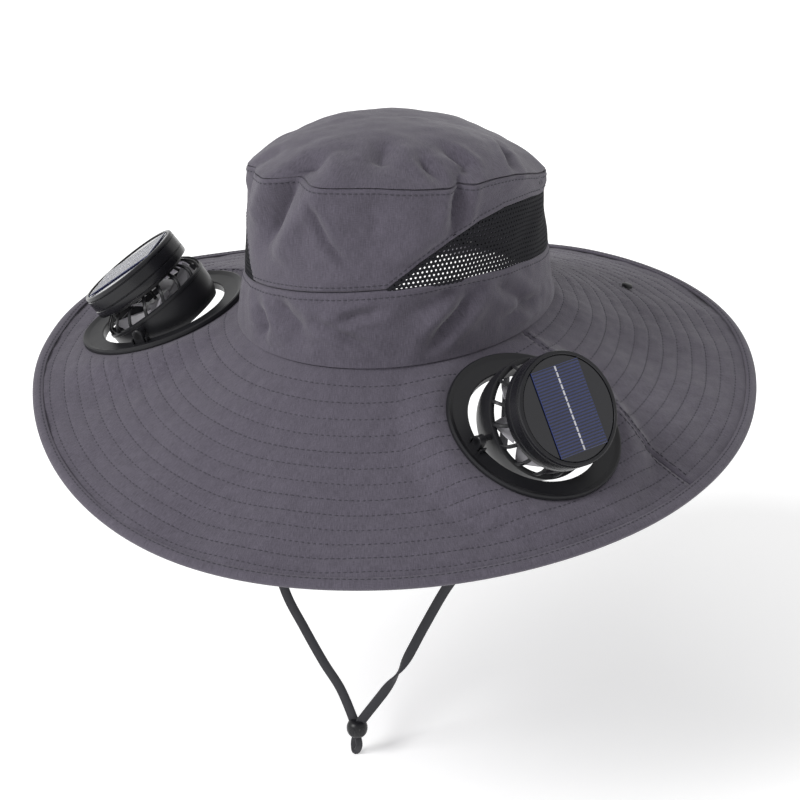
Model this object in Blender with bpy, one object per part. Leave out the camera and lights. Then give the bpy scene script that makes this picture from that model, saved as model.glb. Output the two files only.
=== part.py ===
"""Solar fan hat: a wide-brimmed cloth sun hat with two tilting solar fans let into its brim.

Metres, +Z up. The front of the hat faces -Y, and azimuths turn from the front towards +X.
The origin is the middle of the head opening, at the seam of band and brim."""

import math

import bmesh
import bpy
import numpy as np
from mathutils import Matrix, Vector

# Head opening and cloth
HEAD_WIDTH = 0.172
HEAD_LENGTH = 0.216
CLOTH = 0.0014
GAP = 0.0003

# Crown
BAND_HEIGHT = 0.042
BAND_LEAN = 0.0045
TIP_HEIGHT = 0.088
TIP_INSET = 0.0085
DOME_RISE = 0.0285
DOME_POWER = 2.6
WINDOW_HEIGHT = 0.036
SIDE_SEAM_AZIMUTH = 114.0

# Brim
BRIM_WIDTH = 0.137
BRIM_SAG = 0.0055
BRIM_SEAM_AZIMUTH = 90.0
BINDING_WIDTH = 0.006
BINDING_CLOTH = 0.001
BINDING_GAP = 0.0005

# Fan flanges
FAN_AZIMUTH = 68.0
FAN_OUT = 0.0570
LEFT_RELIEF = 0.0
RIGHT_RELIEF = 3.0
SEAT_MARGIN = 0.005
SEAT_FADE = 0.022
BAND_FADE = 0.04
FLANGE_RADIUS = 0.0512
FLANGE_HOLE = 0.0385
FLANGE_PLATE = 0.0018
FLANGE_LIP = 0.0032
FLANGE_COLLAR = 0.003
BRIM_HOLE_CLEARANCE = 0.0025
PIVOT_HEIGHT = 0.007
LUG_WIDTH = 0.0062
LUG_DEPTH = 0.0045
LUG_START = 0.039
PIN_RADIUS = 0.0017
PIN_CLEARANCE = 0.0004
LEFT_TILT = 20.0
RIGHT_TILT = 28.0

# Fan cage
RING_RADIUS = 0.034
RING_WALL = 0.0025
RING_HEIGHT = 0.009
SKIRT_DEPTH = 0.011
TOP_RING_RADIUS = 0.0275
TOP_RING_WALL = 0.0035
TOP_RING_THICK = 0.0018
CAGE_HEIGHT = 0.0112
RIB_COUNT = 16
RIB_WIDTH = 0.0022
RIB_THICK = 0.0016
RIB_BULGE = 0.0028
RIB_TWIST = 9.0

# Cap, solar panel and impeller
CAP_RADIUS = 0.0325
CAP_HEIGHT = 0.0148
PANEL_RADIUS = 0.0298
PANEL_THICK = 0.0012
CELL_LENGTH = 0.049
CELL_WIDTH = 0.0335
CELL_THICK = 0.0005
MOTOR_RADIUS = 0.009
MOTOR_DROP = 0.0045
SHAFT_RADIUS = 0.0012
BLADE_RADIUS = 0.0285
BLADE_COUNT = 7
BLADE_PITCH = 28.0
BLADE_THICK = 0.0012
HUB_RADIUS = 0.0085
HUB_HEIGHT = 0.0085

# Strap, toggle and stud
STRAP_RADIUS = 0.003
TOGGLE_RADIUS = 0.0065
TAIL_LENGTH = 0.0115
STUD_RADIUS = 0.0035
STUD_HEIGHT = 0.0022
STUD_AZIMUTH = 157.0
STUD_SHARE = 0.55

# The form read round the hat: how steeply the brim falls, in degrees, and the heights of the band's
# top seam and of the tip seam, as shares of BAND_HEIGHT and TIP_HEIGHT.
SECTION_COLUMNS = ("azimuth", "brim_reach", "brim_fall", "band", "tip")
SECTIONS = (
    (-180, 1.0, 19.5, 0.66, 0.78),
    (-150, 1.0, 22.5, 0.62, 0.80),
    (-120, 1.0, 18.8, 0.60, 0.86),
    (-90, 0.985, 14.8, 0.60, 0.95),
    (-60, 0.96, 18.5, 0.64, 1.02),
    (-30, 0.96, 29.0, 0.80, 1.10),
    (0, 0.99, 34.5, 0.95, 1.16),
    (30, 0.995, 34.7, 1.05, 1.16),
    (60, 1.0, 32.5, 1.06, 1.11),
    (90, 1.0, 31.0, 0.96, 1.05),
    (120, 1.0, 27.5, 0.74, 0.88),
    (150, 1.0, 21.0, 0.68, 0.80),
)

# The mesh windows' upper edge above the band seam, as a share of WINDOW_HEIGHT.
WINDOW_COLUMNS = ("azimuth", "rise")
WINDOW = (
    (36, 0.0),
    (48, 0.36),
    (60, 0.64),
    (72, 0.86),
    (84, 0.97),
    (102, 1.0),
    (120, 0.96),
    (138, 0.78),
    (150, 0.38),
    (156, 0.0),
)

# The strap's route down each side, from the brim seam inside the crown to the toggle.
STRAP_LEFT_ROUTE = (
    (-0.0788, -0.006, 0.012),
    (-0.0798, -0.008, -0.008),
    (-0.0818, -0.012, -0.034),
    (-0.0845, -0.017, -0.066),
    (-0.0848, -0.022, -0.100),
    (-0.0822, -0.027, -0.134),
    (-0.0755, -0.028, -0.168),
    (-0.0639, -0.030, -0.1988),
    (-0.0475, -0.034, -0.2173),
    (-0.0307, -0.0375, -0.2350),
    (-0.0158, -0.041, -0.2475),
    (-0.0036, -0.0460, -0.2612),
)
STRAP_RIGHT_ROUTE = (
    (0.0797, -0.006, 0.012),
    (0.0803, -0.008, -0.006),
    (0.0818, -0.012, -0.034),
    (0.0842, -0.018, -0.064),
    (0.0822, -0.024, -0.096),
    (0.0755, -0.029, -0.124),
    (0.0655, -0.032, -0.144),
    (0.0542, -0.033, -0.1631),
    (0.0412, -0.035, -0.1902),
    (0.0293, -0.038, -0.2169),
    (0.0176, -0.041, -0.2380),
    (0.0036, -0.0460, -0.2612),
)
TOGGLE_PLACE = (0.0, -0.0462, -0.2678)

# Steps round the cloth parts
ROUND_STEPS = 60
TIP_STEPS = 40
BRIM_SHARES = (0.0, 0.04, 0.3, 0.56, 0.8)


def clear_scene():
    for thing in list(bpy.data.objects):
        bpy.data.objects.remove(thing, do_unlink=True)


def material(name, color, roughness, metallic=0.0, coat=0.0):
    """One Principled material by name, made once."""
    found = bpy.data.materials.get(name)
    if found:
        return found
    made = bpy.data.materials.new(name)
    made.use_nodes = True
    shader = made.node_tree.nodes["Principled BSDF"]
    shader.inputs["Base Color"].default_value = (*color, 1.0)
    shader.inputs["Roughness"].default_value = roughness
    shader.inputs["Metallic"].default_value = metallic
    shader.inputs["Coat Weight"].default_value = coat
    made.diffuse_color = (*color, 1.0)
    return made


def grey_cloth():
    return material("grey_cloth", (0.115, 0.105, 0.128), 0.85)


def black_net():
    return material("black_net", (0.02, 0.02, 0.022), 0.8)


def black_plastic():
    return material("black_plastic", (0.018, 0.018, 0.02), 0.38)


def glossy_black():
    return material("glossy_black", (0.012, 0.012, 0.016), 0.08, coat=1.0)


def cell_blue():
    return material("cell_blue", (0.02, 0.03, 0.09), 0.2, metallic=0.2, coat=1.0)


def grey_plastic():
    return material("grey_plastic", (0.32, 0.31, 0.34), 0.45)


def black_webbing():
    return material("black_webbing", (0.015, 0.015, 0.018), 0.8)


def new_object(name, mesh, look, parent=None):
    made = bpy.data.objects.new(name, mesh)
    bpy.context.scene.collection.objects.link(made)
    made.data.materials.append(look)
    if parent:
        made.parent = parent
    return made


def mesh_of(name, points, faces, smooth_angle=None):
    """A closed mesh from points and faces, with its faces turned outwards."""
    work = bmesh.new()
    corners = [work.verts.new(p) for p in points]
    for face in faces:
        work.faces.new([corners[i] for i in face])
    bmesh.ops.recalc_face_normals(work, faces=work.faces)
    mesh = bpy.data.meshes.new(name)
    work.to_mesh(mesh)
    work.free()
    if smooth_angle:
        mesh.shade_smooth()
        mesh.set_sharp_from_angle(angle=math.radians(smooth_angle))
    return mesh


def boolean(target, cutter, operation="DIFFERENCE"):
    """Cuts or joins with EXACT, and applies it at once so that the helper can go."""
    change = target.modifiers.new(operation.lower(), "BOOLEAN")
    change.operation = operation
    change.solver = "EXACT"
    change.object = cutter
    bpy.context.view_layer.update()
    graph = bpy.context.evaluated_depsgraph_get()
    result = bpy.data.meshes.new_from_object(target.evaluated_get(graph))
    target.modifiers.clear()
    old = target.data
    target.data = result
    bpy.data.meshes.remove(old)
    bpy.data.objects.remove(cutter, do_unlink=True)


def round_table(rows, columns, column, azimuth):
    """A smooth periodic reading, through the table's rows, of one column at an azimuth."""
    place = columns.index(column)
    count = len(rows)
    step = 360.0 / count
    at = (azimuth - rows[0][0]) / step
    first = math.floor(at)
    t = at - first
    a, b, c, d = (rows[(first + k) % count][place] for k in (-1, 0, 1, 2))
    return 0.5 * (
        2 * b + (c - a) * t + (2 * a - 5 * b + 4 * c - d) * t * t + (3 * b - a - 3 * c + d) * t**3
    )


def section(column, azimuth):
    return round_table(SECTIONS, SECTION_COLUMNS, column, azimuth)


def smooth(t):
    t = min(max(t, 0.0), 1.0)
    return t * t * (3 - 2 * t)


def window_rise(azimuth):
    """Height of a window's upper edge over the band seam, at an azimuth on either side."""
    place = WINDOW_COLUMNS.index("rise")
    places = [row[0] for row in WINDOW]
    return WINDOW_HEIGHT * float(np.interp(abs(azimuth), places, [row[place] for row in WINDOW]))


def oval(azimuth, out=0.0):
    """Point on the head oval, moved outwards along its normal, as x and y."""
    t = math.radians(azimuth)
    half_width = HEAD_WIDTH / 2
    half_length = HEAD_LENGTH / 2
    normal = Vector((half_length * math.sin(t), -half_width * math.cos(t))).normalized()
    return Vector((half_width * math.sin(t), -half_length * math.cos(t))) + out * normal


def band_top(azimuth):
    return BAND_HEIGHT * section("band", azimuth)


def tip_seam(azimuth):
    return TIP_HEIGHT * section("tip", azimuth)


def wall_inset(height, azimuth):
    """How far the crown's outside stands inside the head oval at a height."""
    top = band_top(azimuth)
    if height <= top:
        return BAND_LEAN * height / top
    return BAND_LEAN + (TIP_INSET - BAND_LEAN) * (height - top) / (tip_seam(azimuth) - top)


def wall_point(azimuth, height, inward=0.0):
    """Point on the crown's wall, moved inwards through the cloth."""
    x, y = oval(azimuth, -wall_inset(height, azimuth) - inward)
    return Vector((x, y, height))


def patch(grid_outside, grid_inside, closed=False):
    """Points and faces of a cloth wall between two grids of the same size."""
    rows = len(grid_outside)
    across = len(grid_outside[0])
    points = [p for row in grid_outside for p in row] + [p for row in grid_inside for p in row]
    half = rows * across
    faces = []
    for i in range(rows - 1):
        for j in range(across if closed else across - 1):
            k = (j + 1) % across
            quad = (i * across + j, i * across + k, (i + 1) * across + k, (i + 1) * across + j)
            faces.append(quad)
            faces.append(tuple(half + q for q in reversed(quad)))
    for j in range(across if closed else across - 1):
        k = (j + 1) % across
        last = (rows - 1) * across
        faces.append((k, j, half + j, half + k))
        faces.append((last + j, last + k, half + last + k, half + last + j))
    if not closed:
        end = across - 1
        for i in range(rows - 1):
            low = i * across
            high = low + across
            faces.append((low, high, half + high, half + low))
            faces.append((high + end, low + end, half + low + end, half + high + end))
    return points, faces


def spread(start, end, count):
    return [start + (end - start) * i / count for i in range(count + 1)]


def round_steps(start, end):
    """Azimuths from start to end that meet at the same steps on every cloth part."""
    step = 360.0 / ROUND_STEPS
    first = math.floor(start / step) + 1
    last = math.ceil(end / step) - 1
    return [start, *(step * i for i in range(first, last + 1)), end]


def wall_panel(name, azimuths, low, high, rows, look):
    """A cloth or net panel of the crown between two heights that follow the azimuth."""
    outside = []
    inside = []
    for share in spread(0.0, 1.0, rows):
        heights = [low(a) + (high(a) - low(a)) * share for a in azimuths]
        outside.append([wall_point(a, h) for a, h in zip(azimuths, heights)])
        inside.append([wall_point(a, h, CLOTH) for a, h in zip(azimuths, heights)])
    points, faces = patch(outside, inside)
    return new_object(name, mesh_of(name, points, faces, 50), look)


def make_band():
    azimuths = [360.0 * i / ROUND_STEPS for i in range(ROUND_STEPS)]
    outside = []
    inside = []
    for share in (0.0, 1.0):
        heights = [GAP + (band_top(a) - GAP) * share for a in azimuths]
        outside.append([wall_point(a, h) for a, h in zip(azimuths, heights)])
        inside.append([wall_point(a, h, CLOTH) for a, h in zip(azimuths, heights)])
    points, faces = patch(outside, inside, closed=True)
    new_object("hat_band", mesh_of("hat_band", points, faces, 50), grey_cloth())


def panel_foot(azimuth):
    """Lower edge of the front and back panels: the band seam, or a window's upper edge."""
    return band_top(azimuth) + GAP + window_rise(azimuth)


def panel_head(azimuth):
    return tip_seam(azimuth) - GAP


def make_crown_panels():
    slit = math.degrees(GAP / HEAD_WIDTH)
    side = SIDE_SEAM_AZIMUTH - slit
    wall_panel("crown_front_panel", round_steps(-side, side), panel_foot, panel_head, 3, grey_cloth())
    back = SIDE_SEAM_AZIMUTH + slit
    turned = [a if a <= 180 else a - 360 for a in round_steps(back, 360 - back)]
    wall_panel("crown_back_panel", turned, panel_foot, panel_head, 3, grey_cloth())


def make_windows():
    """The two net windows fill the gap between the band seam and the panels' cut-away edge."""
    start = WINDOW[0][0] + 1.5
    end = WINDOW[-1][0] - 1.0
    for name, side in (("mesh_window_left", -1), ("mesh_window_right", 1)):
        azimuths = [side * a for a in round_steps(start, end)]
        wall_panel(
            name,
            azimuths,
            lambda a: band_top(a) + GAP,
            lambda a: band_top(a) + max(window_rise(a) - GAP, 2 * GAP),
            2,
            black_net(),
        )


def dome_height(share, azimuth):
    """Height of the tip panel, from its middle at 0 to its seam at 1."""
    middle = 0.5 * (tip_seam(0.0) + tip_seam(180.0))
    return middle + (tip_seam(azimuth) - middle) * share + DOME_RISE * (1 - share**DOME_POWER)


def dome_point(share, azimuth, inward=0.0):
    x, y = oval(azimuth, -TIP_INSET) * share
    height = dome_height(share, azimuth) - inward
    if share == 1.0:
        x, y = oval(azimuth, -TIP_INSET - inward)
        height = dome_height(share, azimuth)
    return Vector((x, y, height))


def make_tip():
    azimuths = [360.0 * i / TIP_STEPS for i in range(TIP_STEPS)]
    shares = (1.0, 0.9, 0.68, 0.36)
    outside = [[dome_point(s, a) for a in azimuths] for s in shares]
    inside = [[dome_point(s, a, CLOTH) for a in azimuths] for s in shares]
    points, faces = patch(outside, inside, closed=True)
    half = len(shares) * TIP_STEPS
    last = half - TIP_STEPS
    points += [dome_point(0.0, 0.0), dome_point(0.0, 0.0, CLOTH)]
    faces = faces[: -2 * TIP_STEPS] + faces[-2 * TIP_STEPS :: 2]
    for j in range(TIP_STEPS):
        k = (j + 1) % TIP_STEPS
        faces.append((last + j, last + k, 2 * half))
        faces.append((half + last + k, half + last + j, 2 * half + 1))
    new_object("crown_tip", mesh_of("crown_tip", points, faces, 50), grey_cloth())


def brim_plain(azimuth, share):
    """The brim's upper face before the fans' seats are pressed flat in it."""
    fall = math.radians(section("brim_fall", azimuth))
    reach = BRIM_WIDTH * section("brim_reach", azimuth) * share
    x, y = oval(azimuth, reach * math.cos(fall) - CLOTH)
    return Vector((x, y, -reach * math.sin(fall) - BRIM_SAG * math.sin(math.pi * share)))


def fan_seat(side):
    """Frame of a fan's flange: X runs downhill, Y along the hinge, Z out of the brim."""
    azimuth = side * FAN_AZIMUTH
    share = FAN_OUT / BRIM_WIDTH
    reach = FLANGE_RADIUS / BRIM_WIDTH
    uphill = brim_plain(azimuth, share - reach)
    downhill = brim_plain(azimuth, share + reach)
    swing = math.degrees(FLANGE_RADIUS / (0.5 * HEAD_WIDTH + FAN_OUT))
    before = brim_plain(azimuth - swing, share)
    after = brim_plain(azimuth + swing, share)
    x_axis = (downhill - uphill).normalized()
    z_axis = x_axis.cross(after - before).normalized()
    y_axis = z_axis.cross(x_axis)
    frame = Matrix((x_axis, y_axis, z_axis)).transposed().to_4x4()
    frame.translation = uphill
    relief = RIGHT_RELIEF if side > 0 else LEFT_RELIEF
    flatter = Matrix.Rotation(math.radians(-relief), 4, "Y")
    return frame @ flatter @ Matrix.Translation((FLANGE_RADIUS, 0, 0))


def pressed(point, share, seats):
    """A point of the brim, laid in the plane of the flange where one stands on it."""
    for seat in seats:
        local = seat.inverted() @ point
        away = math.hypot(local.x, local.y)
        weight = 1 - smooth((away - FLANGE_RADIUS - SEAT_MARGIN) / SEAT_FADE)
        weight *= smooth(share / BAND_FADE)
        local.z *= 1 - weight
        point = seat @ local
    return point


def brim_point(azimuth, share, seats):
    return pressed(brim_plain(azimuth, share), share, seats)


def brim_normal(azimuth, share, seats):
    step = 0.02
    along = brim_point(azimuth + 1, share, seats) - brim_point(azimuth - 1, share, seats)
    low = max(share - step, 0.0)
    high = min(share + step, 1.0)
    out = brim_point(azimuth, high, seats) - brim_point(azimuth, low, seats)
    normal = out.cross(along).normalized()
    return normal if normal.z > 0 else -normal


def binding_share():
    return 1 - BINDING_WIDTH / BRIM_WIDTH


def make_brims(seats):
    slit = math.degrees(GAP / HEAD_WIDTH)
    shares = (*BRIM_SHARES, binding_share(), 1.0)
    halves = (("brim_front", 0.0), ("brim_back", 180.0))
    made = []
    for name, middle in halves:
        reach = BRIM_SEAM_AZIMUTH if middle == 0.0 else 180.0 - BRIM_SEAM_AZIMUTH
        azimuths = round_steps(middle - reach + slit, middle + reach - slit)
        top = [[brim_point(a, s, seats) for a in azimuths] for s in shares]
        low = [
            [brim_point(a, s, seats) - CLOTH * brim_normal(a, s, seats) for a in azimuths]
            for s in shares
        ]
        points, faces = patch(top, low)
        made.append(new_object(name, mesh_of(name, points, faces, 50), grey_cloth()))
    for seat in seats:
        hole = FLANGE_HOLE + BRIM_HOLE_CLEARANCE
        cutter = cylinder("hole", hole, -0.02, 0.02, 32)
        cutter.matrix_world = seat
        boolean(made[0], cutter)


def make_binding(seats):
    """Bias strip folded round the brim's edge, as one closed C-shaped section."""
    under = -CLOTH - BINDING_GAP
    beyond = BINDING_GAP + BINDING_CLOTH
    # Each corner stands over a row of the brim, moved outwards and up.
    section_points = (
        (binding_share(), 0.0, beyond),
        (1.0, beyond, beyond),
        (1.0, beyond, under - BINDING_CLOTH),
        (binding_share(), 0.0, under - BINDING_CLOTH),
        (binding_share(), 0.0, under),
        (1.0, BINDING_GAP, under),
        (1.0, BINDING_GAP, BINDING_GAP),
        (binding_share(), 0.0, BINDING_GAP),
    )
    rings = []
    for i in range(ROUND_STEPS):
        azimuth = -BRIM_SEAM_AZIMUTH + 360.0 * i / ROUND_STEPS
        edge = brim_point(azimuth, 1.0, seats)
        out = (edge - brim_point(azimuth, binding_share(), seats)).normalized()
        ring = []
        for share, outward, upward in section_points:
            up = brim_normal(azimuth, share, seats)
            ring.append(brim_point(azimuth, share, seats) + outward * out + upward * up)
        rings.append(ring)
    count = len(section_points)
    points = [p for ring in rings for p in ring]
    faces = []
    for i in range(ROUND_STEPS):
        k = (i + 1) % ROUND_STEPS
        for j in range(count):
            m = (j + 1) % count
            faces.append((i * count + j, k * count + j, k * count + m, i * count + m))
    new_object("brim_binding", mesh_of("brim_binding", points, faces, 40), grey_cloth())


def turned(profile, steps, closed_ends=True):
    """Points and faces of a profile of (radius, height) turned about Z. A radius of 0 is a pole."""
    points = []
    places = []
    for radius, height in profile:
        if radius == 0.0:
            places.append([len(points)] * steps)
            points.append(Vector((0, 0, height)))
        else:
            places.append(list(range(len(points), len(points) + steps)))
            for i in range(steps):
                t = 2 * math.pi * i / steps
                points.append(Vector((radius * math.cos(t), radius * math.sin(t), height)))
    faces = []
    pairs = list(zip(places, places[1:]))
    if closed_ends:
        pairs.append((places[-1], places[0]))
    for low, high in pairs:
        for i in range(steps):
            k = (i + 1) % steps
            face = []
            for index in (low[i], low[k], high[k], high[i]):
                if index not in face:
                    face.append(index)
            if len(face) > 2:
                faces.append(face)
    return points, faces


def turned_object(name, profile, steps, look, parent=None, closed_ends=True):
    points, faces = turned(profile, steps, closed_ends)
    return new_object(name, mesh_of(name, points, faces, 35), look, parent)


def cylinder(name, radius, low, high, steps):
    profile = ((0.0, low), (radius, low), (radius, high), (0.0, high))
    return turned_object(name, profile, steps, black_plastic(), closed_ends=False)


def box(name, size, place):
    points = []
    for x in (-0.5, 0.5):
        for y in (-0.5, 0.5):
            for z in (-0.5, 0.5):
                points.append(Vector((x * size[0], y * size[1], z * size[2])) + Vector(place))
    faces = [(0, 1, 3, 2), (4, 6, 7, 5), (0, 4, 5, 1), (2, 3, 7, 6), (0, 2, 6, 4), (1, 5, 7, 3)]
    return new_object(name, mesh_of(name, points, faces), black_plastic())


def across_y(thing, start):
    """Turns a piece built along Z so that it runs along +Y from a start."""
    turn = Matrix.Rotation(math.radians(-90), 4, "X")
    thing.data.transform(Matrix.Translation((0, start, 0)) @ turn)


def make_flange(name, seat):
    """Ring that clamps the cloth, with the two lugs that carry the fan's hinge pins."""
    profile = (
        (FLANGE_HOLE, -FLANGE_COLLAR),
        (FLANGE_HOLE + 0.0014, -FLANGE_COLLAR),
        (FLANGE_HOLE + 0.0014, GAP),
        (FLANGE_RADIUS, GAP),
        (FLANGE_RADIUS, FLANGE_LIP - 0.0006),
        (FLANGE_RADIUS - 0.0010, FLANGE_LIP),
        (FLANGE_RADIUS - 0.0032, FLANGE_PLATE),
        (FLANGE_HOLE, FLANGE_PLATE),
    )
    flange = turned_object(name, profile, 24, black_plastic())
    for side in (-1, 1):
        middle = side * (LUG_START + LUG_DEPTH / 2)
        height = PIVOT_HEIGHT - FLANGE_PLATE / 2
        place = (0, middle, PIVOT_HEIGHT - height / 2)
        post = box("post", (LUG_WIDTH, LUG_DEPTH, height), place)
        knuckle = cylinder("knuckle", LUG_WIDTH / 2, -LUG_DEPTH / 2, LUG_DEPTH / 2, 14)
        across_y(knuckle, middle)
        knuckle.data.transform(Matrix.Translation((0, 0, PIVOT_HEIGHT)))
        boolean(post, knuckle, "UNION")
        boolean(flange, post, "UNION")
    bore = cylinder("bore", PIN_RADIUS + PIN_CLEARANCE, -0.06, 0.06, 12)
    across_y(bore, 0.0)
    bore.data.transform(Matrix.Translation((0, 0, PIVOT_HEIGHT)))
    boolean(flange, bore)
    flange.matrix_world = seat


def make_cage(name, carrier):
    """Lower ring with its round skirt, curved ribs, top ring and the two hinge pins."""
    high = RING_HEIGHT / 2
    inner = RING_RADIUS - RING_WALL
    foot = -high - SKIRT_DEPTH
    heights = (foot, foot * 0.55)
    skirt = [(math.sqrt(RING_RADIUS**2 - z**2), z) for z in heights]
    chamfer = 0.0008
    profile = (
        *skirt,
        (RING_RADIUS, 0.0),
        (RING_RADIUS, high - chamfer),
        (RING_RADIUS - chamfer, high),
        (inner, high),
        (inner, 0.0),
        *((radius - RING_WALL, z) for radius, z in reversed(skirt)),
    )
    ring = turned_object(name, profile, 20, black_plastic())
    top = cage_top()
    base = top - TOP_RING_THICK
    inside = TOP_RING_RADIUS - TOP_RING_WALL
    rim = ((inside, base), (TOP_RING_RADIUS, base), (TOP_RING_RADIUS, top), (inside, top))
    upper = turned_object("upper", rim, 16, black_plastic())
    start_radius = RING_RADIUS - RING_WALL / 2
    end_radius = TOP_RING_RADIUS - TOP_RING_WALL / 2
    ribs = []
    faces = []
    for i in range(RIB_COUNT):
        first = len(ribs)
        for station in (0.0, 0.5, 1.0):
            lift = high - 0.001 + (base + 0.001 - high + 0.0004) * station
            radius = start_radius + (end_radius - start_radius) * station
            radius += RIB_BULGE * math.sin(math.pi * station)
            turn = 2 * math.pi * (i + 0.5) / RIB_COUNT + math.radians(RIB_TWIST) * station
            out = Vector((math.cos(turn), math.sin(turn), 0))
            side = Vector((-math.sin(turn), math.cos(turn), 0))
            for across, deep in ((-1, -1), (1, -1), (1, 1), (-1, 1)):
                shift = side * (across * RIB_WIDTH / 2) + out * (deep * RIB_THICK / 2)
                ribs.append(out * radius + Vector((0, 0, lift)) + shift)
        faces.append((first, first + 3, first + 2, first + 1))
        for step in (0, 4):
            for k in range(4):
                m = (k + 1) % 4
                a = first + step
                faces.append((a + k, a + m, a + 4 + m, a + 4 + k))
        faces.append((first + 8, first + 9, first + 10, first + 11))
    guard = new_object("ribs", mesh_of("ribs", ribs, faces), black_plastic())
    boolean(guard, upper, "UNION")
    boolean(ring, guard, "UNION")
    for side in (-1, 1):
        length = LUG_START + LUG_DEPTH - RING_RADIUS + RING_WALL / 2
        pin = cylinder("pin", PIN_RADIUS, -length / 2, length / 2, 12)
        across_y(pin, side * (RING_RADIUS - RING_WALL / 2 + length / 2))
        boolean(ring, pin, "UNION")
    ring.parent = carrier


def cage_top():
    return RING_HEIGHT / 2 + CAGE_HEIGHT


def cap_floor():
    return cage_top() + GAP


def make_cap(name, carrier):
    """Drum with a recess for the panel. The motor and its shaft hang below it."""
    floor = cap_floor()
    top = floor + CAP_HEIGHT
    recess = top - PANEL_THICK - 2 * GAP
    shaft_end = HUB_HEIGHT / 2 - HUB_HEIGHT * 0.7
    radius = CAP_RADIUS
    profile = (
        (0.0, shaft_end),
        (SHAFT_RADIUS, shaft_end),
        (SHAFT_RADIUS, floor - MOTOR_DROP),
        (MOTOR_RADIUS, floor - MOTOR_DROP),
        (MOTOR_RADIUS, floor),
        (radius - 0.001, floor),
        (radius, floor + 0.001),
        (radius, top - 0.0006),
        (radius - 0.0008, top),
        (PANEL_RADIUS + GAP, top),
        (PANEL_RADIUS + GAP, recess),
        (0.0, recess),
    )
    turned_object(name, profile, 24, black_plastic(), carrier, closed_ends=False)
    return recess + GAP


def make_panel(side_name, carrier, low):
    """Glossy disc in the cap's recess with the cell on it, its length along the fan's tilt."""
    high = low + PANEL_THICK - GAP
    edge = 0.0003
    disc = (
        (0.0, low),
        (PANEL_RADIUS, low),
        (PANEL_RADIUS, high - edge),
        (PANEL_RADIUS - edge, high),
        (0.0, high),
    )
    name = f"solar_panel_{side_name}"
    turned_object(name, disc, 24, glossy_black(), carrier, closed_ends=False)
    cell = box("cell", (CELL_LENGTH, CELL_WIDTH, CELL_THICK), (0, 0, high + GAP + CELL_THICK / 2))
    cell.name = f"solar_cell_{side_name}"
    cell.data.materials[0] = cell_blue()
    cell.parent = carrier


def make_impeller(name, carrier):
    """Hub with a blind bore for the shaft, and pitched blades that widen outwards."""
    low = -HUB_HEIGHT / 2
    high = HUB_HEIGHT / 2
    bore = SHAFT_RADIUS + GAP
    floor = high - HUB_HEIGHT * 0.7 - GAP
    profile = (
        (0.0, low),
        (HUB_RADIUS - 0.001, low),
        (HUB_RADIUS, low + 0.001),
        (HUB_RADIUS, high),
        (bore, high),
        (bore, floor),
        (0.0, floor),
    )
    hub = turned_object(name, profile, 14, grey_plastic(), closed_ends=False)
    points = []
    faces = []
    stations = ((HUB_RADIUS - 0.0015, 0.0066), (0.019, 0.0112), (BLADE_RADIUS, 0.0150))
    for i in range(BLADE_COUNT):
        turn = 2 * math.pi * i / BLADE_COUNT
        first = len(points)
        for radius, chord in stations:
            lean = math.radians(BLADE_PITCH * (1.25 - 0.35 * radius / BLADE_RADIUS))
            sweep = turn + 0.25 * (radius / BLADE_RADIUS) ** 2
            out = Vector((math.cos(sweep), math.sin(sweep), 0))
            side = Vector((-math.sin(sweep), math.cos(sweep), 0))
            along = side * math.cos(lean) + Vector((0, 0, math.sin(lean)))
            face = side * -math.sin(lean) + Vector((0, 0, math.cos(lean)))
            for a, b in ((-1, -1), (1, -1), (1, 1), (-1, 1)):
                points.append(out * radius + along * (a * chord / 2) + face * (b * BLADE_THICK / 2))
        faces.append((first, first + 3, first + 2, first + 1))
        for step in (0, 4):
            for k in range(4):
                m = (k + 1) % 4
                a = first + step
                faces.append((a + k, a + m, a + 4 + m, a + 4 + k))
        faces.append((first + 8, first + 9, first + 10, first + 11))
    blades = new_object("blades", mesh_of("blades", points, faces), grey_plastic())
    boolean(hub, blades, "UNION")
    hub.parent = carrier


def make_fan(side_name, seat, tilt):
    make_flange(f"fan_flange_{side_name}", seat)
    carrier = bpy.data.objects.new(f"fan_pivot_{side_name}", None)
    bpy.context.scene.collection.objects.link(carrier)
    lift = Matrix.Translation((0, 0, PIVOT_HEIGHT))
    carrier.matrix_world = seat @ lift @ Matrix.Rotation(math.radians(tilt), 4, "Y")
    make_cage(f"fan_cage_{side_name}", carrier)
    panel_low = make_cap(f"fan_cap_{side_name}", carrier)
    make_panel(side_name, carrier, panel_low)
    make_impeller(f"fan_impeller_{side_name}", carrier)


def smooth_route(route, spacing):
    """Points read at even spacing from a smooth curve through the route's own points."""
    places = [Vector(p) for p in route]
    ends = [2 * places[0] - places[1], *places, 2 * places[-1] - places[-2]]
    line = []
    for i in range(1, len(ends) - 2):
        a, b, c, d = ends[i - 1 : i + 3]
        for k in range(20):
            t = k / 20
            bend = (2 * a - 5 * b + 4 * c - d) * t * t + (3 * b - a - 3 * c + d) * t**3
            line.append(0.5 * (2 * b + (c - a) * t + bend))
    line.append(places[-1])
    lengths = [0.0]
    for a, b in zip(line, line[1:]):
        lengths.append(lengths[-1] + (b - a).length)
    count = round(lengths[-1] / spacing)
    wanted = [lengths[-1] * i / count for i in range(count + 1)]
    columns = [[p[axis] for p in line] for axis in range(3)]
    return [Vector([float(np.interp(w, lengths, column)) for column in columns]) for w in wanted]


def tube(name, points, radius, look):
    curve = bpy.data.curves.new(name, "CURVE")
    curve.dimensions = "3D"
    curve.bevel_depth = radius
    curve.bevel_resolution = 1
    curve.use_fill_caps = True
    line = curve.splines.new("POLY")
    line.points.add(len(points) - 1)
    for spot, place in zip(line.points, points):
        spot.co = (*place, 1.0)
    return new_object(name, curve, look)


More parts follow.
